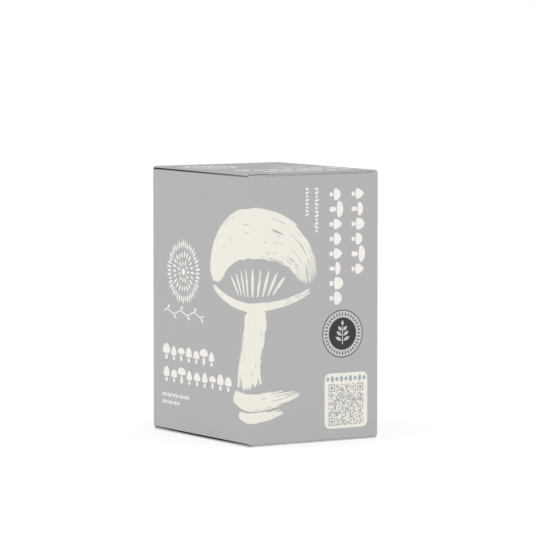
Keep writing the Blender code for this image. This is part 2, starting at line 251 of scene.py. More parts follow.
@dataclass(frozen=True)
class BoardSide:
    """Tells the printed side and the cut edges of one piece of board by its faces' normals.

    An empty outward means the upright walls, whose printed side faces away from the middle.
    Faces that point the shaded way, such as the flat behind a front fold, get painted shade that
    stands in for the dark gap line there.
    """

    outward: tuple[Direction, ...] = ()
    cut: tuple[Direction, ...] = ((0, 0, 1), (0, 0, -1))
    painted_shade: Optional[Direction] = None
    shade_strength: float = 1.0           # strength of the painted shade, from 0 to 1
    darkest: float = 0.0        # where along X it is darkest
    reach: float = 100 * MM     # from there to where the fade counts in full
    fade: float = 0.0           # share of the painted shade that is gone at that reach
    curve_fade: float = 0.0          # how fast the painted shade on the fold's curve fades along X

    PRINTED = 0.2               # how nearly a face faces outward
    EDGE = 0.7                  # and a cut edge its own way
    FLAT = 0.96                 # and a face with painted shade the shaded way
    CURVE = 0.88                # and the part of the fold's curve that also gets painted shade
    FALL = 2.4                  # power of the distance by which the painted shade fades

    def masks(self, pen: Pen, coordinates: bpy.types.Node) -> tuple[Value, Value, Value]:
        """Makes the masks of the board's surfaces.

        Args:
            pen: the material's pen.
            coordinates: its Texture Coordinate node.

        Returns:
            The masks of the printed side, of the cut edges and of the painted shade.
        """
        normal = coordinates.outputs["Normal"]
        if self.outward:
            printed = self.nearest(pen, normal, self.outward)
        else:
            level = pen.node(
                "VectorMath", {0: coordinates.outputs["Object"], 1: (1 / MM, 1 / MM, 0)},
                operation="MULTIPLY",
            ).outputs[0]
            printed = pen.dot(level, normal)
        return (
            pen.math("GREATER_THAN", printed, self.PRINTED),
            pen.math("GREATER_THAN", self.nearest(pen, normal, self.cut), self.EDGE),
            self.painted_shade_mask(pen, normal, coordinates.outputs["Object"]),
        )

    def painted_shade_mask(self, pen: Pen, normal: Socket, where: Socket) -> Value:
        """Makes the mask of the painted shade behind a front fold and on its curve.

        Args:
            pen: the material's pen.
            normal: the faces' normals.
            where: the place in the frame.

        Returns:
            The mask, or 0 for a board without painted shade.
        """
        if not self.painted_shade:
            return 0.0
        facing = pen.dot(normal, self.painted_shade)
        flat = pen.math("MULTIPLY", pen.math("GREATER_THAN", facing, self.FLAT), self.shade_strength)
        if not self.fade:
            return flat
        along = pen.node("SeparateXYZ", {0: where}).outputs["X"]
        away = pen.math("ABSOLUTE", pen.math("SUBTRACT", along, self.darkest))
        share = pen.math("POWER", pen.math("DIVIDE", away, self.reach), self.FALL)
        faded = pen.math("MULTIPLY_ADD", pen.math("MULTIPLY", share, share), -self.fade, 1.0)
        # The painted shade also reaches on to the fold's curve, and fades faster there along X.
        curve_shade = pen.math("MAXIMUM", pen.math("MULTIPLY_ADD", share, -self.curve_fade, 1.0), 0.0)
        curve = pen.math("GREATER_THAN", facing, self.CURVE)
        return pen.math("MAXIMUM", pen.math("MULTIPLY", flat, faded),
                        pen.math("MULTIPLY", curve, curve_shade))

    @staticmethod
    def nearest(pen: Pen, normal: Socket, ways: Iterable[Direction]) -> Socket:
        """Compares the normal with some directions.

        Args:
            pen: the material's pen.
            normal: the faces' normals.
            ways: the directions.

        Returns:
            How far the normal points along the nearest of them, at most 1.
        """
        best: Optional[Socket] = None
        for way in ways:
            value = pen.dot(normal, way)
            best = value if best is None else pen.math("MAXIMUM", best, value)
        return best


@dataclass(frozen=True)
class BoardFinish:
    """Folding board: a matt grey print outside, bare recycled fibre inside."""

    printed: Color = (0.452, 0.452, 0.452)
    bare: Color = (0.49, 0.445, 0.375)
    core: Color = (0.45, 0.446, 0.436)          # of the plies, seen on cut edges
    painted_shade_color: Color = (0.013, 0.013, 0.013)       # painted shade, near black, for the dark gap lines
    roughness: float = 0.72                     # of the printed side
    bare_roughness: float = 0.92
    gloss: float = 0.18
    print_mottle: float = 0.03
    bare_mottle: float = 0.22
    bare_fleck: float = 0.16
    relief: float = 0.03 * MM

    def material(self, name: str, side: BoardSide) -> bpy.types.Material:
        """Makes the board's material for one piece.

        Args:
            name: the material's name.
            side: how the piece's sides lie.

        Returns:
            The material.
        """
        surface, pen, shader = principled(name)
        coordinates = pen.node("TexCoord")
        where = coordinates.outputs["Object"]
        printed, cut, painted_shade = side.masks(pen, coordinates)
        coated = pen.node(
            "Group", {"Vector": where, "Mottle": self.print_mottle, "Fleck": 0.0},
            node_tree=paper_group(),
        )
        fibre = pen.node(
            "Group", {"Vector": where, "Mottle": self.bare_mottle, "Fleck": self.bare_fleck},
            node_tree=paper_group(),
        )
        plies = pen.noise(where, 2600, 1, (0.3, 0.3, 0.3))
        bare = self.shaded(pen, self.bare, fibre.outputs["Shade"])
        outside = self.shaded(pen, self.printed, coated.outputs["Shade"])
        core = self.shaded(pen, self.core, pen.math("MULTIPLY_ADD", plies, 0.5, 0.78))
        color = pen.mix(cut, pen.mix(printed, bare, outside), core)
        # Painted shade: the masked faces are mixed towards the near-black shade colour.
        if side.painted_shade:
            color = pen.mix(painted_shade, color, self.painted_shade_color)
        shader.inputs["Specular IOR Level"].default_value = self.gloss
        pen.feed(shader.inputs["Base Color"], color)
        rough = pen.math("MULTIPLY_ADD", printed, self.roughness - self.bare_roughness,
                         self.bare_roughness)
        pen.feed(shader.inputs["Roughness"],
                 pen.math("MULTIPLY_ADD", coated.outputs["Height"], 0.06, rough))
        height = pen.math("MULTIPLY", fibre.outputs["Height"],
                          pen.math("MULTIPLY_ADD", printed, -0.7, 1.0))
        set_relief(pen, shader, height, self.relief, 0.8)
        return surface

    @staticmethod
    def shaded(pen: Pen, color: Color, shade: Socket) -> Socket:
        """Returns a colour darkened or lightened by a shade near 1."""
        return pen.node("VectorMath", {0: color, "Scale": shade}, operation="SCALE").outputs[0]


@dataclass(frozen=True)
class InkFinish:
    """A flat ink on coated board."""

    name: str
    color: Color
    mottle: float = 0.025
    roughness: float = 0.66
    gloss: float = 0.18
    relief: float = 0.01 * MM

    def material(self) -> bpy.types.Material:
        """Makes the ink's material, once.

        Returns:
            The material.
        """
        if self.name in bpy.data.materials:
            return bpy.data.materials[self.name]
        surface, pen, shader = principled(self.name)
        where = pen.node("TexCoord").outputs["Object"]
        paper = pen.node("Group", {"Vector": where, "Mottle": self.mottle, "Fleck": 0.0},
                         node_tree=paper_group())
        shader.inputs["Specular IOR Level"].default_value = self.gloss
        pen.feed(shader.inputs["Base Color"],
                 BoardFinish.shaded(pen, self.color, paper.outputs["Shade"]))
        pen.feed(shader.inputs["Roughness"],
                 pen.math("MULTIPLY_ADD", paper.outputs["Height"], 0.06, self.roughness))
        set_relief(pen, shader, paper.outputs["Height"], self.relief, 0.8)
        return surface


class Ink(Enum):
    """The inks on the carton."""

    CREAM = InkFinish("cream_ink", (0.845, 0.815, 0.738))
    WARM_CREAM = InkFinish("warm_cream_ink", (0.89, 0.855, 0.80))
    CHARCOAL = InkFinish("charcoal_ink", (0.046, 0.046, 0.046), 0.06)
    MID_GREY = InkFinish("mid_grey_ink", (0.13, 0.13, 0.13))
    LIGHT_GREY = InkFinish("light_grey_ink", (0.55, 0.55, 0.55))
    MODULE_GREY = InkFinish("module_grey_ink", (0.42, 0.42, 0.425))
    SLATE = InkFinish("slate_ink", (0.36, 0.44, 0.46))


@dataclass(frozen=True)
class FilmFinish:
    """Clear soft film, milky along its creases."""

    name: str = "clear_film"
    color: Color = (0.88, 0.90, 0.89)
    haze_color: Color = (0.93, 0.94, 0.93)
    clear: float = 0.22         # how much flat film hides
    milky: float = 0.6          # and a crease
    refraction: float = 1.5
    relief: float = 0.5 * MM

    def material(self) -> bpy.types.Material:
        """Makes the film's material.

        Returns:
            The material.
        """
        surface, pen, shader = principled(self.name)
        where = pen.node("TexCoord").outputs["Object"]
        cloud = pen.noise(where, 45, 3)
        folds = self.ridges(pen, where, 26, (1, 1, 0.35), 0.05)
        crinkles = self.ridges(pen, where, 85, (1, 0.6, 1), 0.045)
        haze = pen.math("MAXIMUM", folds, pen.math("MULTIPLY", crinkles, 0.6))
        pen.feed(shader.inputs["Alpha"],
                 pen.math("MULTIPLY_ADD", haze, self.milky - self.clear, self.clear))
        pen.feed(shader.inputs["Base Color"], pen.mix(cloud, self.color, self.haze_color))
        pen.feed(shader.inputs["Roughness"], pen.math("MULTIPLY_ADD", cloud, 0.2, 0.12))
        shader.inputs["IOR"].default_value = self.refraction
        set_relief(pen, shader, pen.math("MULTIPLY_ADD", haze, 1.0, cloud), self.relief, 0.6)
        return surface

    @staticmethod
    def ridges(pen: Pen, where: Socket, scale: float, stretch: Triple, width: float) -> Socket:
        """Makes the mask of sharp creases, which run where a noise passes its middle value.

        Args:
            pen: the material's pen.
            where: the coordinates that the noise reads, in metres.
            scale: the noise's cells in each metre.
            stretch: factors on the three coordinates.
            width: the creases' width, as a part of the noise's range.

        Returns:
            The mask.
        """
        level = pen.noise(where, scale, 1, stretch)
        distance = pen.math("ABSOLUTE", pen.math("SUBTRACT", level, 0.5))
        return pen.math("SUBTRACT", 1.0, pen.steps(distance, 0.0, width))


@dataclass(frozen=True)
class MembraneFinish:
    """White pressed fibre with a fine grid of bonding points."""

    name: str = "filter_fibre"
    color: Color = (0.83, 0.83, 0.80)
    points: float = 900.0       # bonding points in each metre
    relief: float = 0.15 * MM

    def material(self) -> bpy.types.Material:
        """Makes the membrane's material.

        Returns:
            The material.
        """
        surface, pen, shader = principled(self.name)
        where = pen.node("TexCoord").outputs["Object"]
        points = pen.node("TexVoronoi",
                          {"Vector": where, "Scale": self.points, "Randomness": 0.15})
        dimple = pen.steps(points.outputs["Distance"], 0.1, 0.45)
        hairs = pen.noise(where, 1600, 3, (1, 0.3, 1))
        height = pen.math("MULTIPLY_ADD", hairs, 0.5, dimple)
        shade = pen.math("MULTIPLY_ADD", dimple, 0.12, pen.math("MULTIPLY_ADD", hairs, 0.12, 0.82))
        pen.feed(shader.inputs["Base Color"], BoardFinish.shaded(pen, self.color, shade))
        pen.feed(shader.inputs["Roughness"], pen.math("MULTIPLY_ADD", hairs, 0.1, 0.84))
        set_relief(pen, shader, height, self.relief, 0.8)
        return surface


@dataclass(frozen=True)
class MyceliumFinish:
    """White growth over straw and sawdust."""

    name: str = "grown_substrate"
    white: Color = (0.84, 0.82, 0.76)
    cream: Color = (0.74, 0.66, 0.50)
    straw: Color = (0.42, 0.29, 0.15)
    chips: float = 260.0        # chips of straw in each metre
    relief: float = 0.6 * MM

    def material(self) -> bpy.types.Material:
        """Makes the block's material.

        Returns:
            The material.
        """
        surface, pen, shader = principled(self.name)
        where = pen.node("TexCoord").outputs["Object"]
        patches = pen.noise(where, 38, 6)
        chips = pen.node("TexVoronoi", {"Vector": where, "Scale": self.chips}).outputs["Distance"]
        threads = pen.noise(where, 420, 5, (1, 1, 0.5))
        bare = pen.math("MULTIPLY", pen.steps(patches, 0.52, 0.66), pen.steps(chips, 0.1, 0.5))
        tint = pen.mix(pen.steps(threads, 0.4, 0.65), self.cream, self.white)
        pen.feed(shader.inputs["Base Color"], pen.mix(bare, tint, self.straw))
        pen.feed(shader.inputs["Roughness"], pen.math("MULTIPLY_ADD", threads, 0.1, 0.85))
        height = pen.math("SUBTRACT", threads, pen.math("MULTIPLY", bare, 0.6))
        set_relief(pen, shader, height, self.relief, 0.9)
        return surface


def add_piece(name: str, builder: bmesh.types.BMesh, surfaces: Sequence[bpy.types.Material],
              body: str, smooth: bool = False) -> bpy.types.Object:
    """Makes a piece of a bmesh, and frees the bmesh.

    Args:
        name: the piece's name.
        builder: its mesh, in place in the frame.
        surfaces: its materials.
        body: the body that it rides on, or an empty name for a piece that is blended later.
        smooth: whether it is shaded smooth.

    Returns:
        The new object.
    """
    mesh = bpy.data.meshes.new(name)
    builder.to_mesh(mesh)
    builder.free()
    for surface in surfaces:
        mesh.materials.append(surface)
    if smooth:
        mesh.shade_smooth()
    piece = bpy.data.objects.new(name, mesh)
    bpy.context.scene.collection.objects.link(piece)
    if body:
        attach(piece, body)
    LOG.info("%s: %d faces on %s", name, len(mesh.polygons), body or "two bodies")
    return piece


class Wrap:
    """Lays flat drawings, in millimetres, on the board."""

    FOLDS: tuple[float, ...] = ()       # where drawings are cut so that they can bend

    def place(self, point: Vector) -> Vector:
        """Returns the place in the frame of a drawing's point, whose third number is its lift."""
        raise NotImplementedError


class WallWrap(Wrap):
    """The front and right walls, unrolled: across from the edge between them, then up."""

    RADIUS = 0.85               # of the folded edge, outside
    FOLDS = (-RADIUS, -0.5, -0.17, 0.17, 0.5, RADIUS)

    def __init__(self) -> None:
        """Takes the walls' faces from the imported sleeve."""
        low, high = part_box("carton_sleeve")
        self.right = high.x / MM
        self.front = low.y / MM

    def place(self, point: Vector) -> Vector:
        """Lays one point of a drawing on the walls.

        Args:
            point: across from the edge, up, and lift, in millimetres.

        Returns:
            Its place in the frame.
        """
        across, up, lift = point
        if across <= -self.RADIUS:
            place = (self.right + across, self.front - lift, up)
        elif across >= self.RADIUS:
            place = (self.right + lift, self.front + across, up)
        else:
            angle = math.pi / 4 * (across / self.RADIUS + 1)
            reach = self.RADIUS + lift
            place = (
                self.right - self.RADIUS + reach * math.sin(angle),
                self.front + self.RADIUS - reach * math.cos(angle),
                up,
            )
        return Vector(place) * MM


class LidWrap(Wrap):
    """The top of the lid, seen from above."""

    def __init__(self) -> None:
        """Takes the lid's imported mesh."""
        self.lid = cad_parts["lid"]

    def place(self, point: Vector) -> Vector:
        """Lays one point of a drawing on the lid.

        Args:
            point: its X and Y in the frame and its lift, in millimetres.

        Returns:
            Its place in the frame.

        Raises:
            ValueError: the point isn't over the lid.
        """
        above = Vector((point.x * MM, point.y * MM, 1.0))
        found, hit, _, _ = self.lid.ray_cast(above, Vector((0, 0, -1)))
        if not found:
            raise ValueError(f"the drawing leaves the lid at {tuple(point)}")
        return hit + Vector((0, 0, point.z * MM))


class CapShape(Enum):
    """Outline of a small mushroom's cap: its width, its height and how far its top is drawn up."""

    ROUND = (0.92, 0.50, 0.0)
    BELL = (0.72, 0.40, 0.40)
    FLAT = (1.02, 0.34, 0.0)
    BUTTON = (0.78, 0.54, 0.0)


@dataclass
class Drawing:
    """Flat shapes in one ink, in millimetres on an unrolled face."""

    ink: Ink
    layer: int = 0              # layers of ink under it
    sheet: bmesh.types.BMesh = field(default_factory=bmesh.new)

    LIFT = 0.03                 # of the first layer of ink above the board
    LAYER = 0.012               # between one layer and the next
    INK = 0.01                  # thickness

    def shape(self, segments: int, place: Matrix) -> list[bmesh.types.BMVert]:
        """Adds a filled circle of radius 1.

        Args:
            segments: its number of sides.
            place: the matrix that it is placed by.

        Returns:
            Its vertices.
        """
        made = bmesh.ops.create_circle(self.sheet, cap_ends=True, segments=segments, radius=1.0,
                                       matrix=place)
        return made["verts"]

    @staticmethod
    def placed(centre: Vector, turn: float = 0.0, size: Pair = (1.0, 1.0)) -> Matrix:
        """Makes the matrix that scales, then turns, then moves.

        Args:
            centre: the place that it moves to.
            turn: the angle, in degrees.
            size: the factors on the two axes.

        Returns:
            The matrix.
        """
        return (
            Matrix.Translation(Vector((centre[0], centre[1], 0)))
            @ Matrix.Rotation(math.radians(turn), 4, "Z")
            @ Matrix.Diagonal((size[0], size[1], 1, 1))
        )

    def disc(self, centre: Vector, size: Pair, turn: float = 0.0, segments: int = 32) -> None:
        """Adds an ellipse with those half sizes."""
        self.shape(segments, self.placed(centre, turn, size))

    def ring(self, centre: Vector, radius: float, line: float, segments: int = 96) -> None:
        """Adds a ring.

        Args:
            centre: its centre.
            radius: its outer radius.
            line: the width of its line.
            segments: its number of sides.
        """
        made = bmesh.ops.create_circle(self.sheet, segments=segments, radius=radius,
                                       matrix=self.placed(centre))
        self.sheet.edges.index_update()
        edges = sorted({edge for vert in made["verts"] for edge in vert.link_edges},
                       key=lambda edge: edge.index)
        grown = bmesh.ops.extrude_edge_only(self.sheet, edges=edges)
        inner = [item for item in grown["geom"] if isinstance(item, bmesh.types.BMVert)]
        share = (radius - line) / radius
        middle = self.placed(centre)
        bmesh.ops.scale(self.sheet, vec=(share, share, 1), verts=inner, space=middle.inverted())

    def bar(self, centre: Vector, size: Pair, turn: float = 0.0, corner: float = 0.0) -> None:
        """Adds a rectangle.

        Args:
            centre: its centre.
            size: its two sides.
            turn: the angle that it is turned by, in degrees.
            corner: the radius of its corners.
        """
        made = bmesh.ops.create_grid(
            self.sheet, x_segments=1, y_segments=1, size=0.5,
            matrix=self.placed(centre, turn, size),
        )
        if corner:
            bmesh.ops.bevel(self.sheet, geom=made["verts"], offset=corner, segments=6,
                            profile=0.5, affect="VERTICES", material=-1)

    def leaf(self, foot: Vector, length: float, width: float, turn: float) -> None:
        """Adds a pointed leaf.

        Args:
            foot: the point that it grows from.
            length: its length.
            width: its greatest width.
            turn: the direction that it grows in, in degrees.
        """
        place = self.placed(foot, turn)
        for vert in self.shape(28, Matrix()):
            along = (vert.co.x + 1) / 2
            across = math.copysign(max(0.0, math.sin(math.pi * along)) ** 1.15, vert.co.y)
            vert.co = place @ Vector((along * length, across * width / 2, 0))

    def mushroom(self, foot: Vector, height: float, turn: float, cap: CapShape) -> None:
        """Adds a small mushroom.

        Args:
            foot: the middle of its foot.
            height: its height.
            turn: the angle that it is turned by, in degrees.
            cap: its kind of cap.
        """
        width, dome, peak = cap.value
        under = 0.14 * height           # how far the cap's underside bulges
        rim = height * (1 - dome * (1 + peak))
        place = self.placed(foot, turn)
        for vert in self.shape(36, Matrix()):
            x, y = vert.co.x, vert.co.y
            rise = height * dome * y * (1 + peak * (1 - abs(x))) if y > 0 else under * y
            vert.co = place @ Vector((x * width * height / 2, rim + rise, 0))
        top = rim - under - 0.05 * height
        for vert in self.shape(24, Matrix()):
            x, y = vert.co.x, vert.co.y
            square = math.copysign(abs(x) ** 0.45, x)
            flare = 0.135 * height * (1 + 0.16 * (1 - y))
            vert.co = place @ Vector((square * flare, top * (1 + y) / 2, 0))

    def add(self, other: bmesh.types.BMesh) -> None:
        """Takes over the faces of another flat mesh, and frees it.

        Args:
            other: the other mesh.
        """
        mesh = bpy.data.meshes.new("flat")
        other.to_mesh(mesh)
        other.free()
        self.sheet.from_mesh(mesh)
        bpy.data.meshes.remove(mesh)

    def print(self, name: str, wrap: Wrap, body: str) -> bpy.types.Object:
        """Cuts the drawing at the folds, lays it on the board and makes it a piece.

        Args:
            name: the piece's name.
            wrap: the faces that it is laid on.
            body: the body that it rides on.

        Returns:
            The new object.
        """
        sheet = self.sheet
        bmesh.ops.dissolve_degenerate(sheet, edges=sheet.edges, dist=1e-4)
        for fold in wrap.FOLDS:
            bmesh.ops.bisect_plane(sheet, geom=[*sheet.verts, *sheet.edges, *sheet.faces],
                                   plane_co=(fold, 0, 0), plane_no=(1, 0, 0), dist=1e-5)
        sheet.normal_update()
        turned = [face for face in sheet.faces if face.normal.z < 0]
        bmesh.ops.reverse_faces(sheet, faces=turned)
        lift = self.LIFT + self.layer * self.LAYER
        for vert in sheet.verts:
            vert.co = wrap.place(Vector((vert.co.x, vert.co.y, lift + vert.co.z)))
        piece = add_piece(name, sheet, [self.ink.value.material()], body)
        film = piece.modifiers.new("Ink thickness", "SOLIDIFY")
        film.thickness = self.INK * MM
        film.offset = -1
        return piece


@dataclass
class BrushStroke:
    """One stroke of a broad brush, whose hairs run dry along it."""

    points: tuple[Point, Point, Point, Point]       # of a cubic curve on the unrolled walls
    widths: Triple                                  # at the start, the middle and the end
    seed: int
    dry_start: float = 0.15                         # how dry the hairs are, from 0 to 1
    dry_end: float = 0.75
    ragged: float = 7.0                             # how unevenly the hairs start and stop
    lift: float = 0.0                               # over the strokes that it crosses

    HAIR = 0.48                 # between one hair and the next
    STEP = 0.9                  # between cuts along the stroke
    SAMPLES = 96                # on the curve
    TOUCH = 0.06                # share of the length in which the brush comes down

    def width(self, along: float) -> float:
        """Works out how wide the stroke is, with a rounded start.

        Args:
            along: the share of its length.

        Returns:
            The width there.
        """
        first, middle, last = self.widths
        if along < 0.5:
            width = first + (middle - first) * math.sin(math.pi * along) ** 0.8
        else:
            width = last + (middle - last) * math.sin(math.pi * along) ** 0.8
        touch = min(1.0, along / self.TOUCH)
        return width * math.sqrt(1 - (1 - touch) ** 2 * 0.75)

    def is_dry(self, along: float, across: float, length: float) -> bool:
        """Tells if no paint comes off the brush at a place.

        Args:
            along: the share of the stroke's length.
            across: the share of its half width, from -1 to 1.
            length: the stroke's length.

        Returns:
            Whether the place stays bare.
        """
        aside = across * self.widths[1] / 2
        hairs = noise.noise(Vector((along * length / 26, aside / 0.85, self.seed)))
        fine = noise.noise(Vector((along * length / 8, aside / 0.5, self.seed + 20)))
        clump = noise.noise(Vector((along * length / 30, aside / 6, self.seed + 40)))
        dry = self.dry_start + (self.dry_end - self.dry_start) * along ** 2.2
        dry += 0.22 * max(0.0, abs(across) - 0.72) / 0.28 + 0.25 * clump
        dry += 0.35 * max(0.0, 0.08 - along) / 0.08
        return 0.62 * hairs + 0.38 * fine > 0.62 - 0.62 * dry

    def paint(self) -> bmesh.types.BMesh:
        """Makes the stroke as a flat mesh.

        Returns:
            The mesh, its dry places left out.
        """
        corners = [Vector((*point, 0)) for point in self.points]
        line = geometry.interpolate_bezier(*corners, self.SAMPLES + 1)
        length = sum((b - a).length for a, b in zip(line, line[1:]))
        stroke = bmesh.new()
        bmesh.ops.create_grid(
            stroke, x_segments=math.ceil(length / self.STEP),
            y_segments=math.ceil(max(self.widths) / self.HAIR), size=1.0,
        )
        dry = []
        for face in stroke.faces:
            middle = face.calc_center_median()
            if self.is_dry((middle.x + 1) / 2, middle.y, length):
                dry.append(face)
        bmesh.ops.delete(stroke, geom=dry, context="FACES")
        for vert in stroke.verts:
            vert.co = self.place(line, length, (vert.co.x + 1) / 2, vert.co.y)
        return stroke

    def place(self, line: list[Vector], length: float, along: float, across: float) -> Vector:
        """Places a point of the stroke, with the hairs' uneven ends.

        Args:
            line: the curve's points.
            length: the curve's length.
            along: the share of the hair's length.
            across: the share of the stroke's half width, from -1 to 1.

        Returns:
            The point, in millimetres.
        """
        aside = across * self.widths[1] / 2
        early = abs(noise.noise(Vector((aside / 2.2, self.seed, 3))))
        late = abs(noise.noise(Vector((aside / 1.6, self.seed, 9))))
        late += 0.5 * abs(noise.noise(Vector((aside / 0.6, self.seed, 12))))
        bulge = 1 - across * across
        first = (0.5 * self.ragged * early - 0.35 * self.ragged * bulge) / length
        last = 1 - (1.6 * self.ragged * late + 0.4 * self.ragged * (1 - bulge)) / length
        spot = max(0.0, min(1.0, first + (last - first) * along)) * self.SAMPLES
        index = min(int(spot), self.SAMPLES - 1)
        centre = line[index].lerp(line[index + 1], spot - index)
        way = (line[index + 1] - line[index]).normalized()
        wobble = 1 + 0.05 * noise.noise(Vector((spot / 6, math.copysign(4, across), self.seed)))
        offset = across * wobble * self.width(spot / self.SAMPLES) / 2
        return Vector((centre.x - way.y * offset, centre.y + way.x * offset, self.lift))


@dataclass
class PaintedMushroom:
    """The large mushroom, painted round the edge between the front and right walls."""

    cap: BrushStroke = field(default_factory=lambda: BrushStroke(
        ((-46, 119), (-44, 168), (47, 172), (51, 117)), (15, 37, 12), seed=11, dry_end=0.8))
    rim: BrushStroke = field(default_factory=lambda: BrushStroke(
        ((-50, 116), (-26, 99), (27, 98), (54, 114)), (3.5, 6.5, 3), seed=23, dry_end=0.7,
        ragged=3, lift=Drawing.LAYER))
    stem: BrushStroke = field(default_factory=lambda: BrushStroke(
        ((3, 101), (9, 84), (-6, 68), (-2, 41)), (20, 22, 29), seed=37, dry_end=0.6,
        ragged=5))
    ground: BrushStroke = field(default_factory=lambda: BrushStroke(
        ((-21, 37), (-8, 30), (18, 32), (46, 39)), (9, 13, 6), seed=52, dry_end=1.0, ragged=8,
        lift=Drawing.LAYER))
    shade: BrushStroke = field(default_factory=lambda: BrushStroke(
        ((-14, 23), (0, 20), (14, 21), (30, 25)), (5, 8, 4), seed=58, dry_end=1.0, ragged=5))

    GILLS = 9
    GILL_MIDDLE = 3             # across, of the fan that they make
    GILL_SPREAD = 58            # between the outermost gills, at their tops
    GILL_SEED = 70              # of the first one

    def gills(self) -> list[BrushStroke]:
        """Makes the thin strokes that fan out from the stem to the cap.

        Returns:
            The strokes, from left to right.
        """
        made = []
        for number in range(self.GILLS):
            share = number / (self.GILLS - 1) - 0.5
            top = (self.GILL_MIDDLE + self.GILL_SPREAD * share, 132 - 26 * share * share)
            foot = (self.GILL_MIDDLE + 0.6 * self.GILL_SPREAD * share, 110 + 4 * share * share)
            bend = (0.9 * share, 1)
            middle = ((top[0] + foot[0]) / 2 + bend[0], (top[1] + foot[1]) / 2 + bend[1])
            made.append(BrushStroke((foot, middle, middle, top), (1.2, 2.4, 0.6),
                                    seed=self.GILL_SEED + number, dry_end=0.5, ragged=2,
                                    lift=2 * Drawing.LAYER))
        return made

    def build(self, wrap: Wrap) -> None:
        """Paints the strokes and lays them on the walls.

        Args:
            wrap: the walls' faces.
        """
        drawing = Drawing(Ink.CREAM)
        for stroke in (self.cap, self.rim, self.stem, self.ground, self.shade, *self.gills()):
            drawing.add(stroke.paint())
        drawing.print("painted_mushroom", wrap, "carton")


def toward(turn: float) -> Vector:
    """Returns the flat direction at an angle in degrees from the drawing's across."""
    return Matrix.Rotation(math.radians(turn), 2) @ Vector((1, 0))


class Motif:
    """A small thing that is printed."""

    def draw(self, drawing: Drawing) -> None:
        """Adds the motif to a drawing."""
        raise NotImplementedError


@dataclass(frozen=True)
class PictureRow(Motif):
    """A row of small mushrooms of several kinds."""

    start: Point
    length: float
    count: int
    height: float               # of its tallest kind
    turn: float                 # degrees from the drawing's across to the row's direction
    first: int = 0              # place in the order of kinds that the row starts at

    KINDS = (CapShape.ROUND, CapShape.BELL, CapShape.FLAT, CapShape.BUTTON, CapShape.ROUND,
             CapShape.FLAT, CapShape.BELL)
    SIZES = (1.0, 0.9, 0.84, 0.94, 0.8)

    def draw(self, drawing: Drawing) -> None:
        """Adds the row to a drawing.

        Args:
            drawing: the drawing.
        """
        way = toward(self.turn)
        for number in range(self.count):
            foot = Vector(self.start) + way * (self.length * (number + 0.5) / self.count)
            kind = self.KINDS[(self.first + number) % len(self.KINDS)]
            size = self.SIZES[(self.first + number) % len(self.SIZES)]
            drawing.mushroom(foot, self.height * size, self.turn, kind)


@dataclass(frozen=True)
class SporeRow(Motif):
    """A row of small seeds, with a dot after every second one."""

    start: Point
    length: float
    count: int                  # of seeds and dots
    height: float               # of a seed
    turn: float                 # degrees from the drawing's across to the row's direction

    LEAN = 24                   # degrees that the seeds lean, each the other way

    def draw(self, drawing: Drawing) -> None:
        """Adds the row to a drawing.

        Args:
            drawing: the drawing.
        """
        way = toward(self.turn)
        pitch = self.length / self.count
        for number in range(self.count):
            centre = Vector(self.start) + way * (pitch * (number + 0.5))
            if number % 3 == 2:
                drawing.disc(centre, (0.28 * self.height, 0.28 * self.height), segments=16)
            else:
                lean = self.LEAN if number % 2 else -self.LEAN
                drawing.disc(centre, (0.5 * self.height, 0.24 * self.height),
                             self.turn + 90 + lean, 20)


@dataclass(frozen=True)
class SporePrint(Motif):
    """The round print that a cap's gills leave: fine rays, in rings, that break off unevenly."""

    centre: Point
    radius: float
    rays: int = 44
    ray: float = 0.078          # a ray's width, as a share of the radius

    # From and to, as shares of the radius, and every how many rays there is one in the ring.
    RINGS = ((0.17, 0.37, 4), (0.41, 0.66, 2), (0.70, 0.97, 1))
    UNEVEN = (0.0, 0.03, -0.04, 0.02, -0.06)
    HUB = 0.1                   # radius of the dot in the middle

    def draw(self, drawing: Drawing) -> None:
        """Adds the rays and the dot to a drawing.

        Args:
            drawing: the drawing.
        """
        middle = Vector(self.centre)
        for number in range(self.rays):
            angle = 360 * number / self.rays
            way = toward(angle)
            for inner, outer, every in self.RINGS:
                if number % every:
                    continue
                end = outer + self.UNEVEN[number % len(self.UNEVEN)]
                drawing.leaf(middle + way * inner * self.radius, (end - inner) * self.radius,
                             self.ray * self.radius, angle)
        drawing.disc(middle, (self.HUB * self.radius, self.HUB * self.radius))


@dataclass(frozen=True)
class Vine(Motif):
    """A fine wavy line with a leaf at each bend."""

    start: Point
    length: float
    swing: float = 1.4          # of the line to each side
    waves: int = 3
    line: float = 0.9           # the line's width
    leaf: Triple = (5.0, 2.2, 35)       # length, width and lean in degrees

    CUTS = 16                   # in each wave

    def draw(self, drawing: Drawing) -> None:
        """Adds the vine to a drawing.

        Args:
            drawing: the drawing.
        """
        stem = bmesh.new()
        bmesh.ops.create_grid(stem, x_segments=self.waves * self.CUTS, y_segments=1, size=1.0)
        for vert in stem.verts:
            along = (vert.co.x + 1) / 2
            centre, slope = self.at(along)
            vert.co = Vector((centre.x - slope.y * vert.co.y * self.line / 2,
                              centre.y + slope.x * vert.co.y * self.line / 2, 0))
        drawing.add(stem)
        length, width, lean = self.leaf
        for bend in range(2 * self.waves):
            centre, _ = self.at((bend + 0.5) / (2 * self.waves))
            out = 1 if bend % 2 == 0 else -1
            foot = centre + Vector((0, out * (self.line / 2 + 0.3)))
            drawing.leaf(foot, length, width, out * lean)

    def at(self, along: float) -> tuple[Vector, Vector]:
        """Follows the line.

        Args:
            along: the share of its length.

        Returns:
            The place there and the line's direction.
        """
        phase = 2 * math.pi * self.waves * along
        rise = 2 * math.pi * self.waves / self.length * self.swing
        place = Vector(self.start) + Vector((along * self.length, self.swing * math.sin(phase)))
        return place, Vector((1, rise * math.cos(phase))).normalized()


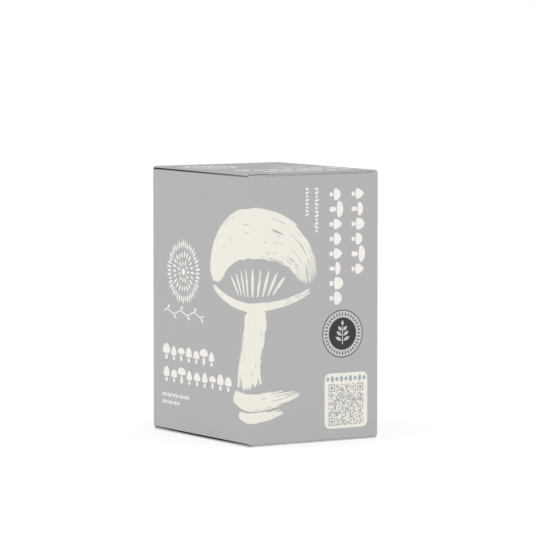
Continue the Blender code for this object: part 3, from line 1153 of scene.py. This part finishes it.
@dataclass(frozen=True)
class LoosePrint:
    """The small cream motifs on one part of the carton."""

    name: str
    body: str
    motifs: tuple[Motif, ...]

    def build(self, wrap: Wrap) -> None:
        """Draws the motifs and lays them on the board.

        Args:
            wrap: the faces that they are laid on.
        """
        drawing = Drawing(Ink.WARM_CREAM)
        for motif in self.motifs:
            motif.draw(drawing)
        drawing.print(self.name, wrap, self.body)


WALL_PRINT = LoosePrint("wall_print", "carton", (
    PictureRow((-124.5, 55.2), 77, 7, 12.0, 0),
    PictureRow((-124.5, 38.4), 101, 9, 12.0, 0, first=3),
    PictureRow((89.4, 189.0), 67, 6, 12.0, -90, first=1),
    PictureRow((70.0, 189.0), 88, 8, 12.0, -90, first=4),
    SporeRow((-125.5, 28.2), 40, 14, 3.6, 0),
    SporeRow((-125.5, 22.6), 27, 9, 3.6, 0),
    SporeRow((58.6, 189.4), 34, 12, 3.6, -90),
    SporeRow((50.3, 189.4), 21.5, 8, 3.2, -90),
    SporePrint((-93.7, 122.9), 25.0),
    Vine((-122.6, 91.8), 58.8),
))
# The lid's print is read from the right-hand side.
LID_PRINT = LoosePrint("lid_print", "lid", (
    PictureRow((52.5, -29.0), 79, 6, 14.5, 90, first=2),
    PictureRow((32.0, -40.0), 92, 7, 14.5, 90, first=5),
    SporeRow((5.0, 10.0), 42, 12, 4.8, 90),
    SporeRow((-2.6, 10.0), 28, 8, 4.8, 90),
    SporePrint((-30.0, -29.5), 22.5, rays=40, ray=0.115),
))


@dataclass
class Seal:
    """The round dark seal on the right wall: a ring of ticks round a leafy sprig."""

    centre: Point = (81.5, 79.8)
    radius: float = 17.9
    line: float = 0.85          # width of its outline
    inner: float = 12.1         # radius of the dark disc in it
    ticks: int = 36
    tick: Pair = (2.3, 0.8)     # length and width
    dot: float = 0.75           # radius of the dots that stand in for four of the ticks

    def build(self, wrap: Wrap) -> None:
        """Draws the seal ink by ink and lays it on the wall.

        Args:
            wrap: the walls' faces.
        """
        middle = Vector(self.centre)
        outline, band, disc = Drawing(Ink.MID_GREY), Drawing(Ink.LIGHT_GREY), Drawing(Ink.CHARCOAL)
        outline.ring(middle, self.radius, self.line)
        band.ring(middle, self.radius - self.line, self.radius - self.line - self.inner)
        disc.disc(middle, (self.inner, self.inner), segments=96)
        drawings = {"outline": outline, "band": band, "disc": disc,
                    "ticks": self.tick_ring(middle), "sprig": self.sprig(middle)}
        for part, drawing in drawings.items():
            drawing.print(f"seal_{part}", wrap, "carton")

    def tick_ring(self, middle: Vector) -> Drawing:
        """Draws the ticks and dots in the band round the disc.

        Args:
            middle: the seal's centre.

        Returns:
            The drawing.
        """
        marks = Drawing(Ink.CHARCOAL, layer=1)
        reach = (self.radius - self.line + self.inner) / 2
        for number in range(self.ticks):
            angle = 360 * number / self.ticks
            place = middle + toward(angle) * reach
            if number % 9 == 4:
                marks.disc(place, (self.dot, self.dot), segments=20)
            else:
                marks.bar(place, self.tick, angle, 0.2)
        return marks

    def sprig(self, middle: Vector) -> Drawing:
        """Draws a stalk with three pairs of leaves and one at its tip.

        Args:
            middle: the seal's centre.

        Returns:
            The drawing.
        """
        sprig = Drawing(Ink.LIGHT_GREY, layer=1)
        sprig.bar(middle + Vector((0, -1.2)), (0.75, 13.4), corner=0.3)
        for pair, (length, lean) in enumerate(((6.4, 28), (5.8, 36), (4.8, 46))):
            foot = middle + Vector((0, -5.2 + 3.7 * pair))
            sprig.leaf(foot + Vector((0.65, 0)), length, 2.5, lean)
            sprig.leaf(foot + Vector((-0.65, 0)), length, 2.5, 180 - lean)
        sprig.leaf(middle + Vector((0, 5.8)), 4.4, 2.2, 90)
        return sprig


@dataclass
class ScanPanel:
    """The cream panel with a square of modules, which are set at random and hold no code."""

    low: Point = (65.7, 9.4)
    high: Point = (103.6, 50.6)
    corner: float = 4.6
    modules: int = 37           # on a side
    module: float = 0.835
    margin: float = 2.2         # below the modules
    marker: int = 7             # modules on a side of each corner square
    dark: float = 0.48          # share of the other modules that is printed
    seed: int = 29
    lozenges: int = 9
    lozenge_pitch: float = 4.0
    heading: float = 4.4        # from the panel's upper side to the lozenges' middle

    def build(self, wrap: Wrap) -> None:
        """Draws the panel, its heading of lozenges and its modules, and lays them on the wall.

        Args:
            wrap: the walls' faces.
        """
        low, high = Vector(self.low), Vector(self.high)
        middle = (low + high) / 2
        panel = Drawing(Ink.CREAM)
        panel.bar(middle, tuple(high - low), corner=self.corner)
        panel.print("scan_panel", wrap, "carton")
        heading = Drawing(Ink.SLATE, layer=1)
        for number in range(self.lozenges):
            aside = self.lozenge_pitch * (number - (self.lozenges - 1) / 2)
            place = Vector((middle.x + aside, high.y - self.heading))
            heading.disc(place, (1.4, 2.3 if number % 2 else 1.6), segments=24)
        heading.print("scan_heading", wrap, "carton")
        self.code(Vector((middle.x, low.y + self.margin))).print("scan_modules", wrap, "carton")

    def code(self, foot: Vector) -> Drawing:
        """Draws the modules.

        Args:
            foot: the middle of their lower side.

        Returns:
            The drawing.
        """
        drawing = Drawing(Ink.MODULE_GREY, layer=1)
        half = self.modules * self.module / 2
        middle = foot + Vector((0, half))
        grid = bmesh.new()
        bmesh.ops.create_grid(grid, x_segments=self.modules, y_segments=self.modules, size=half,
                              matrix=Drawing.placed(middle))
        chance = random.Random(self.seed)
        faces = sorted(grid.faces, key=lambda face: tuple(
            round(value, 3) for value in face.calc_center_median()))
        pale = []
        for face in faces:
            spot = (face.calc_center_median().xy - foot) / self.module
            column, row = int(spot.x + self.modules / 2), int(spot.y)
            if not self.is_dark(column, row, chance.random()):
                pale.append(face)
        bmesh.ops.delete(grid, geom=pale, context="FACES")
        drawing.add(grid)
        return drawing

    def is_dark(self, column: int, row: int, chance: float) -> bool:
        """Tells if a module is printed: three corners hold squares and the rest is random.

        Args:
            column: its place from the left.
            row: its place from below.
            chance: a random number from 0 to 1.

        Returns:
            Whether it is printed.
        """
        last = self.modules - 1
        for far_x, far_y in ((False, False), (False, True), (True, True)):
            x = last - column if far_x else column
            y = last - row if far_y else row
            if max(x, y) <= self.marker:
                ring = max(abs(x - self.marker // 2), abs(y - self.marker // 2))
                return ring == self.marker // 2 or ring <= 1
        return chance < self.dark


@dataclass
class Board:
    """The carton's own board: the finish of each solid, and the creases between them."""

    finish: BoardFinish = field(default_factory=BoardFinish)
    # Painted light: paler cut edges for the bottom closure and its burr, which lift the shade near
    # the floor.
    painted_light_finish: BoardFinish = field(default_factory=lambda: BoardFinish(core=(0.62, 0.615, 0.60)))
    board: float = 0.7 * MM
    sink: float = 0.04 * MM             # of a crease's surface below the board's faces
    lid_nick: float = 6 * MM            # beside the ends of the lid's and the bottom's creases
    dust_relief: Pair = (16 * MM, 7 * MM)       # before and behind the dust flaps' creases
    base_relief: float = 1.2 * MM       # before and behind the bottom flaps' creases
    score: float = 0.3 * MM             # between the panels that a crease joins
    jog_angle: float = 50               # degrees past upright that a front fold turns in
    crease_shade: float = 0.43           # strength of the painted shade on the dust flaps' creases
    burr: float = 0.2 * MM              # of loose fibre along the closures' cut edges
    burr_depth: float = 0.3 * MM        # from the cut edge inwards
    burr_ends: Pair = (3 * MM, 1 * MM)  # kept free of it at the front and the back
    # Painted shade at the front ends of the lid's sides, for the open gap under the lid there:
    front_shade_reach: float = 16.2 * MM          # how far back the painted shade reaches along the lid's sides
    front_shade_strength: float = 0.82
    front_shade_rise: float = 0.16 * MM       # of the dark strip of painted shade, over the lid's cut sides
    front_shade_proud: float = 0.015 * MM     # and out past them

    SIDES = ((-1, "left"), (1, "right"))

    def jog_way(self, upward: bool) -> Direction:
        """Returns the way that the flat behind the lid's or the bottom's front fold faces."""
        tilt = math.radians(self.jog_angle)
        return (0.0, -math.cos(tilt), -math.sin(tilt) if upward else math.sin(tilt))

    def dress(self) -> None:
        """Gives the solids their material."""
        up, down, ahead = (0, 0, 1), (0, 0, -1), (0, -1, 0)
        left, right, back = (-1, 0, 0), (1, 0, 0), (0, 1, 0)
        sides = {
            "carton_sleeve": BoardSide(),
            # The lid and the bottom closure get painted shade on the flat behind their front folds,
            # for the dark gap lines there, strongest at the given X and fading from it.
            "lid": BoardSide((up, ahead), (left, right), self.jog_way(upward=True),
                             darkest=-57 * MM, reach=123 * MM, fade=0.8, curve_fade=4.3),
            "bottom_closure": BoardSide((down, ahead), (left, right), self.jog_way(upward=False),
                                        darkest=2 * MM, reach=68 * MM, fade=0.6, curve_fade=2.1),
            "dust_flap_left": BoardSide((up, left), (ahead, back, right)),
            "dust_flap_right": BoardSide((up, right), (ahead, back, left)),
            "bottom_flap_left": BoardSide((down, left), (ahead, back, right)),
            "bottom_flap_right": BoardSide((down, right), (ahead, back, left)),
        }
        for name, side in sides.items():
            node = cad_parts[name]
            # The bottom closure takes the paler cut edges of painted light.
            finish = self.painted_light_finish if name == "bottom_closure" else self.finish
            surface = finish.material(f"{name}_board", side)
            for slot in node.material_slots:
                slot.material = surface
            LOG.info("%s: dressed", name)

    def strip(self, name: str, low: Vector, high: Vector, body: str, shade_strength: float = 0.0,
              raw: Optional[BoardFinish] = None) -> bpy.types.Object:
        """Adds a long thin strip of board.

        Args:
            name: the piece's name.
            low: its lowest corner.
            high: its highest corner.
            body: the body that it rides on, or an empty name for a strip that is blended later.
            shade_strength: strength of the painted shade on its outer side, from 0 to 1.
            raw: the finish of cut fibre, or None for a printed crease.

        Returns:
            The new object.
        """
        strip = bmesh.new()
        bmesh.ops.create_cube(strip, size=1)
        size, middle = high - low, (high + low) / 2
        bmesh.ops.scale(strip, vec=size, verts=strip.verts)
        bmesh.ops.translate(strip, vec=middle, verts=strip.verts)
        longest = max(range(3), key=lambda axis: size[axis])
        long_edges = [edge for edge in strip.edges
                      if abs((edge.verts[0].co - edge.verts[1].co)[longest]) > size[longest] / 2]
        bmesh.ops.subdivide_edges(strip, edges=long_edges, cuts=24, use_grid_fill=True)
        aside = Vector((middle.x, 0, 0)) if longest == 1 else Vector((0, middle.y, 0))
        outward = tuple(aside.normalized())
        if raw:
            side = BoardSide((outward,), (outward,))
        else:
            # A printed crease, whose outer face gets painted shade of that strength.
            side = BoardSide((outward,), ((0, 0, 2),), outward, shade_strength)
        surface = (raw or self.finish).material(f"{name}_board", side)
        piece = add_piece(name, strip, [surface], body)
        return piece

    def build_creases(self) -> None:
        """Adds the creases along the walls' top and bottom edges."""
        low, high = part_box("carton_sleeve")
        inner_y, outer_y = high.y - self.board + self.sink, high.y - self.sink
        span = high.x - self.lid_nick
        back = Vector((0, (inner_y + outer_y) / 2, 0))
        top, bottom = self.wall_edge(back, upward=True), self.wall_edge(back, upward=False)
        lid_crease = self.strip("lid_crease", Vector((-span, inner_y, top)),
                                Vector((span, outer_y, top + self.score)), "")
        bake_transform(lid_crease)
        self.strip("bottom_crease", Vector((-span, inner_y, bottom - self.score)),
                   Vector((span, outer_y, bottom)), "carton")
        for side, word in self.SIDES:
            near, far = sorted((side * (high.x - self.sink),
                                side * (high.x - self.board + self.sink)))
            wall = Vector(((near + far) / 2, 0, 0))
            top, bottom = self.wall_edge(wall, upward=True), self.wall_edge(wall, upward=False)
            # The dust flaps' creases get painted shade along the walls' top edges.
            self.strip(f"dust_crease_{word}",
                       Vector((near, low.y + self.dust_relief[0], top)),
                       Vector((far, high.y - self.dust_relief[1], top + self.score)), "carton",
                       self.crease_shade)
            self.strip(f"base_crease_{word}",
                       Vector((near, low.y + self.base_relief, bottom - self.score)),
                       Vector((far, high.y - self.base_relief, bottom)), "carton")

    def build_burrs(self) -> None:
        """Adds the burr of fibre that the die leaves along the cut sides of the lid and the bottom.

        At the front ends of the lid's sides, dark strips of painted shade take its place, for the
        open gap under the lid there.
        """
        front, back = self.burr_ends
        low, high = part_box("lid")
        under, over = high.z - self.board - self.burr, high.z - self.board + self.sink
        start = low.y + self.front_shade_reach
        for side, word in self.SIDES:
            inner = side * (high.x - self.burr_depth)
            near, far = sorted((side * (high.x - self.sink / 2), inner))
            self.strip(f"lid_burr_{word}", Vector((near, start, under)),
                       Vector((far, high.y - back, over)), "lid", raw=self.finish)
            # A dark strip of painted shade over the front of the lid's side.
            near, far = sorted((side * (high.x + self.front_shade_proud), inner))
            self.strip(f"lid_thumbed_{word}", Vector((near, low.y + front, under)),
                       Vector((far, start, over + self.front_shade_rise)), "lid", self.front_shade_strength)
        low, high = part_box("bottom_closure")
        under, over = low.z + self.board - self.sink, low.z + self.board + self.burr
        for side, word in self.SIDES:
            near, far = sorted((side * (high.x - self.sink / 2),
                                side * (high.x - self.burr_depth)))
            # The bottom's burr also has the paler cut edges of painted light.
            self.strip(f"bottom_burr_{word}", Vector((near, low.y + front, under)),
                       Vector((far, high.y - back, over)), "carton", raw=self.painted_light_finish)

    @staticmethod
    def wall_edge(place: Vector, upward: bool) -> float:
        """Finds a wall's top or bottom edge.

        Args:
            place: a place in the wall.
            upward: whether the top edge is meant.

        Returns:
            The edge's height.
        """
        away = 1.0 if upward else -1.0
        start = Vector((place.x, place.y, away))
        _, hit, _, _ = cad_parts["carton_sleeve"].ray_cast(start, Vector((0, 0, -away)))
        return hit.z


@dataclass
class SubstrateBlock:
    """The block of substrate: a rounded box, lumpy and grown over."""

    corner: float = 12 * MM
    cuts: int = 62
    room: Triple = (0.85, 0.85, 0.35)   # mm that are left for the lumps to rise into
    shrink: float = 0.25 * MM
    lumps: tuple[Pair, ...] = ((0.55, 60), (0.28, 170), (0.2, 420))     # mm high, and per metre

    def build(self) -> None:
        """Builds the block inside its solid's box."""
        low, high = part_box("substrate_block")
        half = (high - low) / 2 - Vector(self.room) * MM
        middle = (low + high) / 2
        block = bmesh.new()
        bmesh.ops.create_cube(block, size=2)
        bmesh.ops.subdivide_edges(block, edges=block.edges, cuts=self.cuts, use_grid_fill=True)
        for vert in block.verts:
            place = Vector(half[axis] * math.sin(math.pi / 2 * vert.co[axis])
                           for axis in range(3))
            core = Vector(
                max(self.corner - half[axis], min(half[axis] - self.corner, place[axis]))
                for axis in range(3)
            )
            outward = (place - core).normalized()
            rise = sum(size * MM * noise.noise(place * scale) for size, scale in self.lumps)
            vert.co = core + outward * (self.corner - self.shrink + rise)
            vert.co.z = max(vert.co.z, -half.z)
        bmesh.ops.translate(block, vec=middle, verts=block.verts)
        piece = add_piece("grown_block", block, [MyceliumFinish().material()], "carton",
                          smooth=True)
        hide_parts("substrate_block")


class Section(NamedTuple):
    """One section of the bag: a rounded rectangle."""

    centre: Vector
    lean: float                 # degrees that it is tilted about X
    half_x: float
    half_y: float
    corner: float


@dataclass
class GrowBag:
    """The film bag: creased film round the block, drawn in to a neck that is folded over."""

    heel: float = 6 * MM                # radius of the lower edges
    corner: float = 13.5 * MM
    roof: float = 15 * MM               # height of the slopes up to the neck
    roof_foot: float = 0.0              # height where the roof starts, set from the solid
    neck_rise: float = 1 * MM           # from the roof to the fold
    neck_inset: float = 3.5 * MM
    neck_half: float = 1.6 * MM         # half the neck's thickness
    fold_radius: float = 3 * MM
    neck_length: float = 26 * MM
    seal: float = 6 * MM                # length of the crimped end
    film: float = 0.12 * MM
    around: int = 176                   # points in each section
    window: Pair = (17 * MM, 11 * MM)   # half sizes
    slack: Pair = (-0.5 * MM, 1.6 * MM)         # how far the film may stand in and out

    ROWS = {"heel": 6, "wall": 44, "roof": 14, "fold": 9, "neck": 8}
    PLEATS = 22
    # Shares of the seal's length, and the neck's thickness there.
    CRIMPS = ((0.2, 0.5), (0.3, 0.24), (0.45, 0.36), (0.55, 0.24), (0.7, 0.36), (0.8, 0.24),
              (1.0, 0.24))

    @staticmethod
    def outline(share: float, half_x: float, half_y: float, corner: float) -> Pair:
        """Follows a rounded rectangle.

        Args:
            share: the share of the way round it.
            half_x: half its width.
            half_y: half its depth.
            corner: the radius of its corners.

        Returns:
            The point there, measured from its middle.
        """
        flat_x, flat_y = 2 * (half_x - corner), 2 * (half_y - corner)
        arc = math.pi / 2 * corner
        run = share * 2 * (flat_x + flat_y + 2 * arc)
        turn = 0
        for length in (flat_x, flat_y, flat_x, flat_y):
            ahead = Vector((math.cos(math.radians(turn)), math.sin(math.radians(turn))))
            aside = Vector((ahead.y, -ahead.x))
            out, reach = (half_y, flat_x / 2) if turn in (0, 180) else (half_x, flat_y / 2)
            if run <= length:
                return tuple(ahead * (run - reach) + aside * out)
            run -= length
            if run <= arc:
                angle = run / corner
                hub = ahead * reach + aside * (out - corner)
                spoke = aside * math.cos(angle) + ahead * math.sin(angle)
                return tuple(hub + spoke * corner)
            run -= arc
            turn += 90
        return (-(half_x - corner), -half_y)

    def trunk(self, low: Vector, high: Vector) -> list[Section]:
        """Makes the sections round the block and up the roof.

        Args:
            low: the lowest corner of the bag's box.
            high: the highest corner of it.

        Returns:
            The sections, from the bottom up.
        """
        half_x, half_y = high.x, high.y
        neck_x = half_x - self.neck_inset
        made = []
        for step in range(self.ROWS["heel"] + 1):
            angle = math.pi / 2 * step / self.ROWS["heel"]
            inset = self.heel * (1 - math.sin(angle))
            z = low.z + self.heel * (1 - math.cos(angle))
            made.append(Section(Vector((0, 0, z)), 0.0, half_x - inset, half_y - inset,
                                self.corner - inset))
        foot = self.roof_foot
        for step in range(1, self.ROWS["wall"] + 1):
            z = low.z + self.heel + (foot - low.z - self.heel) * step / self.ROWS["wall"]
            made.append(Section(Vector((0, 0, z)), 0.0, half_x, half_y, self.corner))
        for step in range(1, self.ROWS["roof"] + 1):
            part = step / self.ROWS["roof"]
            depth = half_y + (self.neck_half - half_y) * part
            width = half_x + (neck_x - half_x) * part
            made.append(Section(Vector((0, 0, foot + self.roof * part)), 0.0, width, depth,
                                min(self.corner, 0.9 * depth)))
        return made

    def neck(self, high: Vector) -> list[Section]:
        """Makes the sections of the neck, which folds back over the roof, and of its seal.

        Args:
            high: the highest corner of the bag's box.

        Returns:
            The sections, from the roof to the neck's end.
        """
        half_x = high.x - self.neck_inset
        slope = math.atan2(self.roof, high.y - self.neck_half)
        place = Vector((0, 0, self.roof_foot + self.roof + self.neck_rise))
        heading = math.pi / 2
        turn = (heading + slope) / self.ROWS["fold"]
        made = []
        for _ in range(self.ROWS["fold"]):
            heading -= turn / 2
            chord = 2 * self.fold_radius * math.sin(turn / 2)
            place = place + chord * Vector((0, math.cos(heading), math.sin(heading)))
            heading -= turn / 2
            made.append(Section(place, math.degrees(heading) - 90, half_x, self.neck_half,
                                0.9 * self.neck_half))
        lean = math.degrees(heading) - 90
        ahead = Vector((0, math.cos(heading), math.sin(heading)))
        plain = self.neck_length - self.seal
        for step in range(1, self.ROWS["neck"] + 1):
            made.append(Section(place + ahead * plain * step / self.ROWS["neck"], lean, half_x,
                                self.neck_half, 0.9 * self.neck_half))
        for share, half in self.CRIMPS:
            half_seal = half * self.neck_half
            made.append(Section(place + ahead * (plain + self.seal * share), lean, half_x,
                                half_seal, 0.9 * half_seal))
        return made

    def wrinkle(self, place: Vector, share: float) -> float:
        """Works out the film's pleats, slack and crinkles.

        Args:
            place: a place on the smooth bag.
            share: its share of the way round the bag.

        Returns:
            How far the film stands out there, in metres.
        """
        rise = place.z - self.roof_foot
        pleats = math.sin(2 * math.pi * self.PLEATS * share + 2.2 * noise.noise(place * 30))
        near_neck = max(0.0, min(1.0, (rise + 30 * MM) / (40 * MM)))
        if rise > self.roof - 2 * MM:
            near_neck = max(0.0, near_neck - (rise - self.roof + 2 * MM) / (3 * MM))
        slack = noise.noise(Vector((place.x * 26, place.y * 26, place.z * 9)))
        crinkle = abs(noise.noise(place * 75))
        return MM * (0.9 * pleats * near_neck + 1.1 * slack + 0.7 * crinkle - 0.1)

    def build(self) -> None:
        """Builds the bag inside its solid's box, with the filter window open in its front slope."""
        low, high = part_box("grow_bag")
        patch_low, patch_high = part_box("filter_patch")
        self.roof_foot = high.z - self.roof - self.neck_rise - self.fold_radius - self.neck_half
        LOG.info("the bag's roof starts at %.4f", self.roof_foot)
        bag = bmesh.new()
        ring = bmesh.ops.create_circle(bag, cap_ends=True, segments=self.around, radius=1)["verts"]
        loop = list(bag.edges)
        for level, section in enumerate(self.trunk(low, high) + self.neck(high)):
            if level:
                grown = bmesh.ops.extrude_edge_only(bag, edges=loop)["geom"]
                verts = {item for item in grown if isinstance(item, bmesh.types.BMVert)}
                loop = [item for item in grown if isinstance(item, bmesh.types.BMEdge)
                        and set(item.verts) <= verts]
                ring = self.in_order(verts, ring)
            creased = not section.lean and section.centre.z >= low.z + self.heel
            self.lay_ring(ring, section, creased)
        bmesh.ops.holes_fill(bag, edges=loop, sides=0)
        self.open_window(bag, (patch_low + patch_high) / 2)
        bmesh.ops.recalc_face_normals(bag, faces=bag.faces)
        piece = add_piece("film_bag", bag, [FilmFinish().material()], "carton", smooth=True)
        wall = piece.modifiers.new("Film thickness", "SOLIDIFY")
        wall.thickness = self.film
        wall.offset = -1
        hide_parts("grow_bag")

    def lay_ring(self, ring: Sequence[bmesh.types.BMVert], section: Section,
                 creased: bool) -> None:
        """Moves a ring of vertices on to a section.

        Args:
            ring: the vertices, in order.
            section: the section.
            creased: whether the film is pleated and slack there.
        """
        tilt = Matrix.Rotation(math.radians(section.lean), 3, "X")
        for number, vert in enumerate(ring):
            share = number / self.around
            x, y = self.outline(share, section.half_x, section.half_y, section.corner)
            place = section.centre + tilt @ Vector((x, y, 0))
            out = tilt @ Vector((x / section.half_x ** 2, y / section.half_y ** 2, 0)).normalized()
            soft = self.wrinkle(place, share) if creased else 0.0
            vert.co = place + out * min(max(soft, self.slack[0]), self.slack[1])

    @staticmethod
    def in_order(verts: set[bmesh.types.BMVert],
                 before: Sequence[bmesh.types.BMVert]) -> list[bmesh.types.BMVert]:
        """Puts a new ring's vertices in the order of the ring that it grew from.

        Args:
            verts: the new ring's vertices.
            before: the old ring's vertices, in order.

        Returns:
            The new ring's vertices, in order.
        """
        return [
            next(edge.other_vert(old) for edge in old.link_edges if edge.other_vert(old) in verts)
            for old in before
        ]

    def open_window(self, bag: bmesh.types.BMesh, middle: Vector) -> None:
        """Takes out the film behind the filter patch.

        Args:
            bag: the bag's mesh.
            middle: the patch's middle.
        """
        gone = []
        for face in bag.faces:
            place = face.calc_center_median()
            inside = (abs(place.x - middle.x) < self.window[0]
                      and abs(place.y - middle.y) < self.window[1])
            if inside and self.roof_foot < place.z < self.roof_foot + self.roof:
                gone.append(face)
        bmesh.ops.delete(bag, geom=gone, context="FACES")


@dataclass
class FilterPatch:
    """The breathing patch: a soft fibre pad with a pressed rim."""

    corner: float = 5 * MM
    rim: float = 3 * MM
    groove: float = 0.8 * MM            # width of the pressed line inside the rim
    press: float = 0.12 * MM            # its depth
    size: Triple = (46 * MM, 34 * MM, 0.4 * MM)

    def build(self) -> None:
        """Builds the patch where its solid lies."""
        low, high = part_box("filter_patch")
        slope = math.asin((high.z - low.z - self.size[2]) / self.size[1])
        patch = bmesh.new()
        bmesh.ops.create_cube(patch, size=1)
        bmesh.ops.scale(patch, vec=self.size, verts=patch.verts)
        upright = [edge for edge in patch.edges
                   if abs(edge.verts[0].co.z - edge.verts[1].co.z) > self.size[2] / 2]
        bmesh.ops.bevel(patch, geom=upright, offset=self.corner, segments=8, profile=0.5,
                        affect="EDGES", material=-1)
        top = [face for face in patch.faces if face.normal.z > 0.9]
        bmesh.ops.inset_region(patch, faces=top, thickness=self.rim, depth=-self.press)
        bmesh.ops.inset_region(patch, faces=top, thickness=self.groove, depth=self.press)
        place = Matrix.Translation((low + high) / 2) @ Matrix.Rotation(slope, 4, "X")
        bmesh.ops.transform(patch, matrix=place, verts=patch.verts)
        piece = add_piece("breathing_patch", patch, [MembraneFinish().material()], "carton")
        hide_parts("filter_patch")


@dataclass
class Studio:
    """A pale floor, soft light from all round, and the camera."""

    azimuth: float = 58.067             # of the camera, in degrees
    elevation: float = 4.455
    distance: float = 2857.8 * MM
    aim: Vector = field(default_factory=lambda: Vector((0.85, 1.36, 126.16)) * MM)
    focal_pixels: float = 3796.07
    image_pixels: int = 533
    sky: float = 0.90                   # strength of the light from all round
    floor_color: Color = (0.55, 0.55, 0.55)
    floor_light: float = 0.54           # the light table's own light on the carton
    floor_seen: float = 0.45            # how much of the light on the floor the camera sees
    floor_glow: float = 0.62            # its own light, for the camera alone

    WHITE = (1, 1, 1, 1)
    LAMPS = {"key": ((-0.9, -2.7, 1.3), 1.8, 5.5), "fill": ((2.8, 0.4, 1.1), 1.8, 4.5)}

    def build(self) -> None:
        """Sets up the stage."""
        scene = bpy.context.scene
        scene.view_settings.view_transform = "Standard"
        self.floor()
        self.world(scene)
        for name, (place, size, power) in self.LAMPS.items():
            self.lamp(name, Vector(place), size, power)
        self.camera(scene)

    @staticmethod
    def direct_view(pen: Pen) -> Socket:
        """Tells where the camera, a reflection or clear film looks straight on.

        Args:
            pen: a pen for the nodes.

        Returns:
            A mask that is 1 there.
        """
        path = pen.node("LightPath").outputs
        seen = pen.math("MAXIMUM", path["Is Camera Ray"], path["Is Glossy Ray"])
        return pen.math("MAXIMUM", seen, path["Is Transmission Ray"])

    def floor(self) -> None:
        """Adds the floor, which shows white and keeps the carton's soft shadow."""
        disc = bmesh.new()
        bmesh.ops.create_circle(disc, cap_ends=True, segments=96, radius=12)
        mesh = bpy.data.meshes.new("floor")
        disc.to_mesh(mesh)
        disc.free()
        surface = bpy.data.materials.new("floor")
        surface.use_nodes = True
        pen = Pen(surface.node_tree)
        surface.node_tree.nodes.clear()
        table = pen.node("BsdfDiffuse", {"Color": (*self.floor_color, 1)})
        light = pen.node("Emission", {"Color": self.WHITE, "Strength": self.floor_light})
        lit = pen.node("AddShader", {0: table.outputs[0], 1: light.outputs[0]})
        seen = pen.node("BsdfDiffuse", {"Color": (self.floor_seen,) * 3 + (1,)})
        glow = pen.node("Emission", {"Color": self.WHITE, "Strength": self.floor_glow})
        both = pen.node("AddShader", {0: seen.outputs[0], 1: glow.outputs[0]})
        chosen = pen.node(
            "MixShader", {0: self.direct_view(pen), 1: lit.outputs[0], 2: both.outputs[0]}
        )
        pen.node("OutputMaterial", {"Surface": chosen.outputs[0]})
        mesh.materials.append(surface)
        ground = bpy.data.objects.new("floor", mesh)
        bpy.context.scene.collection.objects.link(ground)

    def world(self, scene: bpy.types.Scene) -> None:
        """Lights the scene from all round, in front of a white background.

        Args:
            scene: the scene.
        """
        sky = bpy.data.worlds.new("sky")
        sky.use_nodes = True
        pen = Pen(sky.node_tree)
        sky.node_tree.nodes.clear()
        light = pen.node("Background", {"Color": self.WHITE, "Strength": self.sky})
        shown = pen.node("Background", {"Color": self.WHITE, "Strength": 1.0})
        chosen = pen.node(
            "MixShader", {0: self.direct_view(pen), 1: light.outputs[0], 2: shown.outputs[0]}
        )
        pen.node("OutputWorld", {"Surface": chosen.outputs[0]})
        scene.world = sky

    @staticmethod
    def lamp(name: str, place: Vector, size: float, power: float) -> None:
        """Adds a large soft lamp that points at the carton.

        Args:
            name: its name.
            place: where it hangs, in metres.
            size: its diameter.
            power: its power, in watts.
        """
        data = bpy.data.lights.new(name, "AREA")
        data.shape = "DISK"
        data.size = size
        data.energy = power
        lamp = bpy.data.objects.new(name, data)
        lamp.location = place
        lamp.rotation_euler = (Vector((0, 0, 0.1)) - place).to_track_quat("-Z", "Y").to_euler()
        bpy.context.scene.collection.objects.link(lamp)

    def camera(self, scene: bpy.types.Scene) -> None:
        """Adds the camera at the photograph's viewing angle.

        Args:
            scene: the scene.
        """
        data = bpy.data.cameras.new("camera")
        data.sensor_width = 36.0
        data.lens = self.focal_pixels / self.image_pixels * data.sensor_width
        data.clip_start, data.clip_end = 0.1, 100
        turn, tilt = math.radians(self.azimuth), math.radians(self.elevation)
        back = Vector((
            math.sin(turn) * math.cos(tilt), -math.cos(turn) * math.cos(tilt), math.sin(tilt)
        ))
        camera = bpy.data.objects.new("camera", data)
        camera.location = self.aim + back * self.distance
        camera.rotation_euler = (-back).to_track_quat("-Z", "Y").to_euler()
        scene.collection.objects.link(camera)
        scene.camera = camera


def main() -> None:
    """Dresses the carton, adds its print and what is inside it, and sets up the studio."""
    logging.basicConfig(level=logging.INFO, format="%(message)s")
    Studio().build()
    board = Board()
    board.dress()
    board.build_creases()
    board.build_burrs()
    walls = WallWrap()
    PaintedMushroom().build(walls)
    WALL_PRINT.build(walls)
    Seal().build(walls)
    ScanPanel().build(walls)
    LID_PRINT.build(LidWrap())
    SubstrateBlock().build()
    GrowBag().build()
    FilterPatch().build()


if __name__ == "__main__":
    main()
